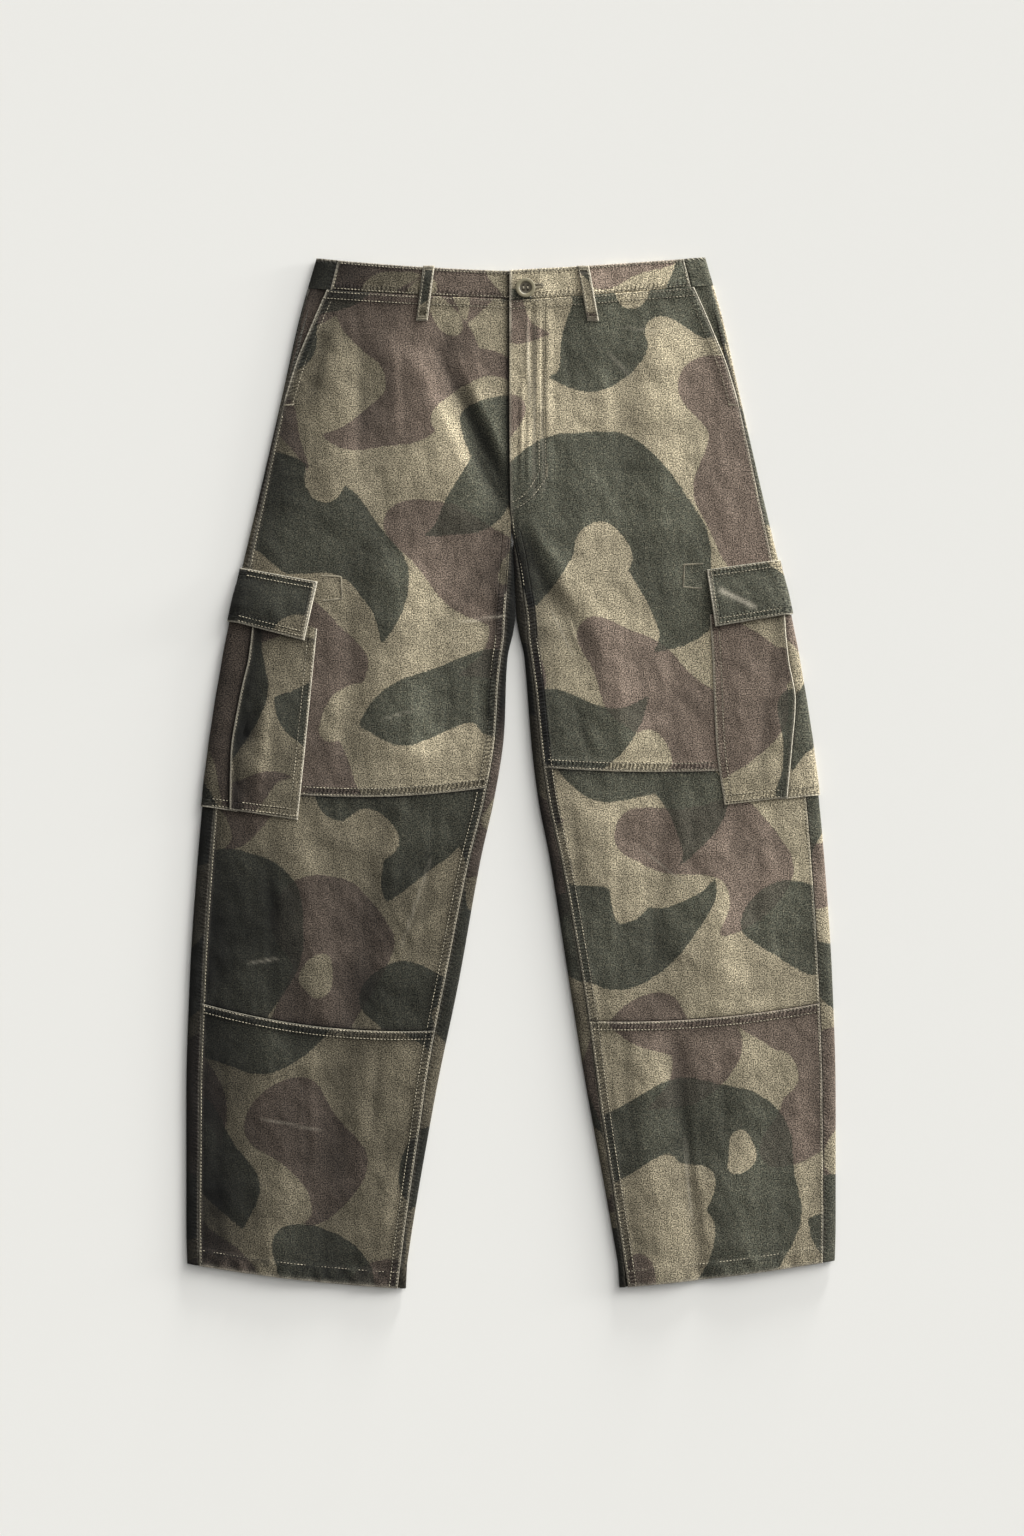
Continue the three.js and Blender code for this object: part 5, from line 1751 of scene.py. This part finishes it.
def leg_stitches(side):
    """Twin rows at the knee seams and the inseam, one at the outseam and one at the hem."""
    thigh, knee, shin = (f"front_{part}_{side['name']}" for part in ("thigh", "knee", "shin"))
    above, below, hem = leg_seams(side)

    def inner(drop):
        return front_inner(side, drop)

    edge_below, edge_hem = (float(front_outer(d)) for d in (755, 1010))
    in_above, in_below, in_hem = (float(inner(d)) for d in (530, 755, 1015))
    beside_pocket = float(pocket_inner(side, 525.0)) - 2
    rows = []
    for shift in TWIN_ROWS:
        rows.append((thigh, level(side, above, in_above + 1, beside_pocket, -shift)))
        rows.append((shin, level(side, below, in_below + 1, edge_below - 1, shift)))
        rows.append((thigh, upright(side, inner, 336, above(in_above) - 1, shift)))
        rows.append((knee, upright(side, inner, above(in_above) + 1, below(in_below) - 1, shift)))
        rows.append((shin, upright(side, inner, below(in_below) + 1, hem(in_hem) - 1, shift)))
    rows.append((shin, level(side, hem, in_hem + 1, edge_hem - 1, -15.8)))
    for panel, start, end in (
        (thigh, 158, side["flap_top"][0] - 2),
        (knee, side["pocket_bottom"][0] + 3, below(edge_below) - 1),
        (shin, below(edge_below) + 1, hem(edge_hem) - 1),
    ):
        rows.append((panel, upright(side, front_outer, start, end, -1.9)))
    sew(f"stitches_leg_{side['name']}", rows)


def fly_row(side, inset):
    """A row down the fly and round its curved end to the middle."""
    wide = FLY["wide"] - inset
    turn = FLY["drop"] - FLY["curve"] - inset
    straight = [(middle(side, d) + wide, d) for d in np.linspace(46, turn, 40)]
    bend = [(middle(side, turn) + wide * a, mix(FLY["drop"] - inset, turn, a * a))
            for a in np.linspace(1, 0.05, 20)]
    return route(side, straight + bend)


def waist_stitches(side):
    """Rows round the waistband, the waist seam, the slant opening, the fly and the crotch."""
    thigh, band = f"front_thigh_{side['name']}", f"waistband_front_{side['name']}"

    def seam(q):
        return waist_seam(side, q)

    def top(q):
        return waist_top(side, q)

    rows = []
    for shift in (2.1, 8.7):
        rows.append((thigh, level(side, seam, 1, float(front_outer(45)) - 1, shift)))
        rows.append((thigh, upright(side, front_outer, 44, HAND_POCKET["bottom"], -shift - 0.6)))
    rows.append((band, level(side, seam, 1, float(band_seam(34.0)) - 1, -2.0)))
    rows.append((band, level(side, top, 1, float(band_seam(5.0)) - 1, 2.6)))
    rows.append((band, upright(side, band_seam, 14, 36, -2.4)))
    if side is RIGHT:
        rows.append(("back_right", [(-0.6, 262), (0.2, 290), (1.2, 322)]))
    if side is LEFT:
        rows.append((thigh, upright(side, lambda d: front_inner(side, d), 258, FORK, 1.8)))
        rows += [(thigh, fly_row(side, inset)) for inset in TWIN_ROWS]
    sew(f"stitches_waist_{side['name']}", rows)


def pocket_stitches(side):
    """Rows round a cargo pocket's two halves and its flap."""
    front, rear = f"cargo_pocket_front_{side['name']}", f"cargo_pocket_rear_{side['name']}"
    flap = f"cargo_flap_{side['name']}"
    (high0, high1), (low0, low1) = side["flap_bottom"], side["pocket_bottom"]
    (top0, top1) = side["flap_top"]

    def inner(drop):
        return pocket_inner(side, drop)

    def pleat(drop):
        return read(side["pocket"], "pleat", drop)

    def slanting(outer_drop, inner_drop, shift, start=0.0, end=1.0):
        """A row across the pocket, from the outer fold at 0 to the flap's inner edge at 1."""
        places = []
        for share in np.linspace(start, end, 30):
            drop = mix(outer_drop, inner_drop, share) + shift
            tip = float(outer_fold(drop))
            places.append((mix(tip, float(mix(*side["flap_inner"], 0.5)), share), drop))
        return route(side, places)

    rows = [(front, upright(side, pleat, high0 + 6, low0 - 3, -1.8))]
    for shift in TWIN_ROWS:
        rows.append((front, upright(side, inner, high1 + 4, low1 - 3, shift)))
        rows.append((front, slanting(low0, low1, -shift, 0.35, 0.98)))
        rows.append((rear, slanting(low0, low1, -shift, 0.08, 0.42)))
    for shift in (1.8, 6.5):
        rows.append((flap, slanting(high0, high1, -shift, 0.08, 0.98)))
        rows.append((flap, slanting(top0, top1, shift, 0.08, 0.98)))
        edge = [(mix(*side["flap_inner"], t) + shift, mix(top1, high1, t))
                for t in np.linspace(0.04, 0.96, 30)]
        rows.append((flap, route(side, edge)))
    sew(f"stitches_pocket_{side['name']}", rows)


def tacks(side):
    """Close stitches that hold the ends of openings, pocket corners and belt loops."""
    thigh, loop = f"front_thigh_{side['name']}", f"belt_loop_front_{side['name']}"
    corner, top = side["flap_inner"][0], side["flap_top"][1]
    box = [(corner - 1, top - 6), (corner - 20, top - 5),
           (corner - 21, top + 17), (corner - 2, top + 19)]
    bottom = HAND_POCKET["bottom"]
    edge = float(front_outer(bottom))
    rows = [(thigh, route(side, box))]
    rows.append((thigh, route(side, [(edge - 1, bottom - 2), (edge - 11, bottom - 3)])))
    (x0, x1), (d0, d1) = side["loop_x"], side["loop_drop"]
    for t in (0.035, 0.075, 0.93, 0.97):
        x, drop = mix(x0, x1, t), mix(d0, d1, t)
        rows.append((loop, [(x - 4.6, drop), (x + 4.6, drop)]))
    if side is LEFT:
        rows.append((thigh, [(36.4, 206), (35.6, 219)]))
    sew(f"tacks_{side['name']}", rows, TACK, crosswise=True)
    reach = STRAP["wide"] / 2 - 1.7
    edges = [(loop, [(x0 + s * reach, d0 + 4), (x1 + s * reach, d1 - 4)]) for s in (-1, 1)]
    sew(f"stitches_loop_{side['name']}", edges)


for side in SIDES:
    leg_stitches(side)
    waist_stitches(side)
    pocket_stitches(side)
    tacks(side)


def buttonhole():
    """Close stitches round the slit that the button comes through."""
    turn = np.linspace(0, 2 * math.pi, 60)
    x, drop = BUTTON["x"] + 8.5, BUTTON["drop"] - 2.2
    ring = [(x + 9 * math.cos(a), drop + 1.9 * math.sin(a)) for a in turn]
    sew("buttonhole", [("waistband_front_left", ring)], TACK, crosswise=True)


buttonhole()


def cast_plastic(rim_height):
    """Urea button, cast in a dull olive brown: a soft gloss, faintly clouded, scuffed on the rim."""
    finish = Finish("cast urea button")
    place = finish.add("TexCoord", {})["Object"]
    colour = finish.blend(finish.noise(place, 420.0, 3.0), "#8f876c", "#6f6852")
    # The dished middle, which lies lower than the rim, is painted darker as shade.
    height = finish.add("SeparateXYZ", {"Vector": place})["Z"]
    painted_recess_shade = finish.spread(height, from_min=rim_height - 0.001, from_max=rim_height - 0.0003)
    colour = finish.blend(painted_recess_shade, "#524b3a", colour)
    scuffs = finish.noise(place, 1500.0, 4.0)
    rough = finish.spread(scuffs, to_min=0.3, to_max=0.65)
    finish.fill(finish.shader, {"IOR": 1.55, "Base Color": colour, "Roughness": rough,
                                "Normal": finish.bump(scuffs, 0.2, 0.0001)})
    return finish.material


def select_flat_top(shape, height, radius):
    """Selects the flat faces at a height, within a radius of the shape's middle."""
    for face in shape.faces:
        centre = face.calc_center_median()
        away = math.hypot(centre.x, centre.y)
        face.select_set(face.normal.z > 0.9 and abs(centre.z - height) < 1e-5 and away < radius)


def drill_hole(button, x, y, depth):
    """Cuts one round hole through the button."""
    bpy.ops.mesh.primitive_cylinder_add(
        vertices=20, radius=BUTTON["hole"] / 1000, depth=depth, location=(x, y, 0)
    )
    drill = bpy.context.active_object
    bpy.ops.object.select_all(action="DESELECT")
    bpy.context.view_layer.objects.active = button
    cut = button.modifiers.new("hole", "BOOLEAN")
    cut.operation, cut.object, cut.solver = "DIFFERENCE", drill, "EXACT"
    bpy.ops.object.modifier_apply(modifier="hole")
    bpy.data.objects.remove(drill, do_unlink=True)


def waist_button():
    """A turned button: a raised rim round a dished face with four holes, sewn through twice."""
    bpy.ops.object.select_all(action="DESELECT")
    low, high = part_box("waist_button")
    thick, radius = high.z - low.z, (high.x - low.x) / 2
    bpy.ops.mesh.primitive_cylinder_add(vertices=56, radius=radius, depth=thick, location=(0, 0, 0))
    button = bpy.context.active_object
    button.name = "button_face"
    bpy.ops.object.mode_set(mode="EDIT")
    bpy.ops.mesh.select_mode(type="FACE")
    bpy.ops.mesh.select_all(action="DESELECT")
    select_flat_top(bmesh.from_edit_mesh(button.data), thick / 2, radius)
    bmesh.update_edit_mesh(button.data)
    bpy.ops.mesh.inset(thickness=0.0032, depth=0)
    bpy.ops.mesh.inset(thickness=0.0009, depth=-0.0011)
    bpy.ops.object.mode_set(mode="OBJECT")
    bevel = button.modifiers.new("rounded rim", "BEVEL")
    bevel.width, bevel.segments, bevel.limit_method = 0.00055, 3, "ANGLE"
    bevel.angle_limit = math.radians(25)
    bpy.ops.object.modifier_apply(modifier="rounded rim")
    spacing = BUTTON["spacing"] / 1000
    for sx in (-1, 1):
        for sy in (-1, 1):
            drill_hole(button, sx * spacing, sy * spacing, 3 * thick)
    for vertex in button.data.vertices:
        vertex.co += Vector(((low.x + high.x) / 2, (low.y + high.y) / 2, (low.z + high.z) / 2))
    button.data.shade_smooth()
    bpy.ops.object.select_all(action="DESELECT")
    button.select_set(True)
    bpy.context.view_layer.objects.active = button
    bpy.ops.object.shade_smooth_by_angle(angle=math.radians(35))
    button.data.materials.append(cast_plastic(high.z))
    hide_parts("waist_button")
    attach(button, "root")


def button_thread():
    """Two bars of thread, each of two strands, over the button from hole to hole."""
    reach = 2.6
    rows = []
    for side_of_middle in (-1, 1):
        for strand in (-0.35, 0.35):
            x = BUTTON["x"] + side_of_middle * BUTTON["spacing"] + strand
            rows.append(("button_face", [(x, BUTTON["drop"] - reach), (x, BUTTON["drop"] + reach)]))
    sew("button_thread", rows, BAR)


waist_button()
button_thread()


def stage():
    """The pale floor that the garment lies on."""
    bpy.ops.object.select_all(action="DESELECT")
    bpy.ops.mesh.primitive_plane_add(size=8, location=(0, 0, -0.0003))
    floor = bpy.context.active_object
    floor.name = "floor"
    paper = Finish("matt pale backdrop paper")
    paper.fill(paper.shader, {"Base Color": "#ebeae5", "Roughness": 1.0, "Specular IOR Level": 0.0})
    floor.data.materials.append(paper.material)


def far_light(name, azimuth, elevation, strength, softness):
    """A broad light far away, so that the floor is lit evenly; angles in degrees."""
    bpy.ops.object.light_add(type="SUN")
    lamp = bpy.context.active_object
    lamp.name = name
    turn, rise = math.radians(azimuth), math.radians(elevation)
    towards = Vector((math.cos(rise) * math.cos(turn), math.cos(rise) * math.sin(turn), math.sin(rise)))
    lamp.location = towards * 3
    lamp.rotation_euler = towards.to_track_quat("Z", "Y").to_euler()
    lamp.data.energy = strength
    lamp.data.angle = math.radians(softness)


LIGHTS = table(
    "name azimuth elevation strength softness",
    ("window_upper_right", 42, 18, 2.8, 30),
    ("large_softbox", 40, 40, 1.47, 80),
    ("raking_top", 74, 5.0, 4.2, 9),
    ("raking_right", 14, 5.5, 2.4, 10),
)
# The camera looks straight down and sees this many metres along the picture's long side.
CAMERA = {"across": 0.001, "up": 0.005, "sees": 1.536, "lens": 85, "sensor": 36}


def lights_and_camera():
    for light in LIGHTS:
        far_light(**light)
    world = bpy.data.worlds.new("studio")
    world.use_nodes = True
    background = world.node_tree.nodes["Background"]
    background.inputs["Color"].default_value = linear("#ffffff")
    background.inputs["Strength"].default_value = 0.24
    bpy.context.scene.world = world
    bpy.context.scene.view_settings.view_transform = "Standard"
    height = CAMERA["sees"] * CAMERA["lens"] / CAMERA["sensor"]
    bpy.ops.object.camera_add(location=(CAMERA["across"], CAMERA["up"], height), rotation=(0, 0, 0))
    camera = bpy.context.active_object
    camera.data.lens = CAMERA["lens"]
    camera.data.sensor_width = CAMERA["sensor"]
    camera.data.dof.use_dof = False
    bpy.context.scene.camera = camera


stage()
lights_and_camera()
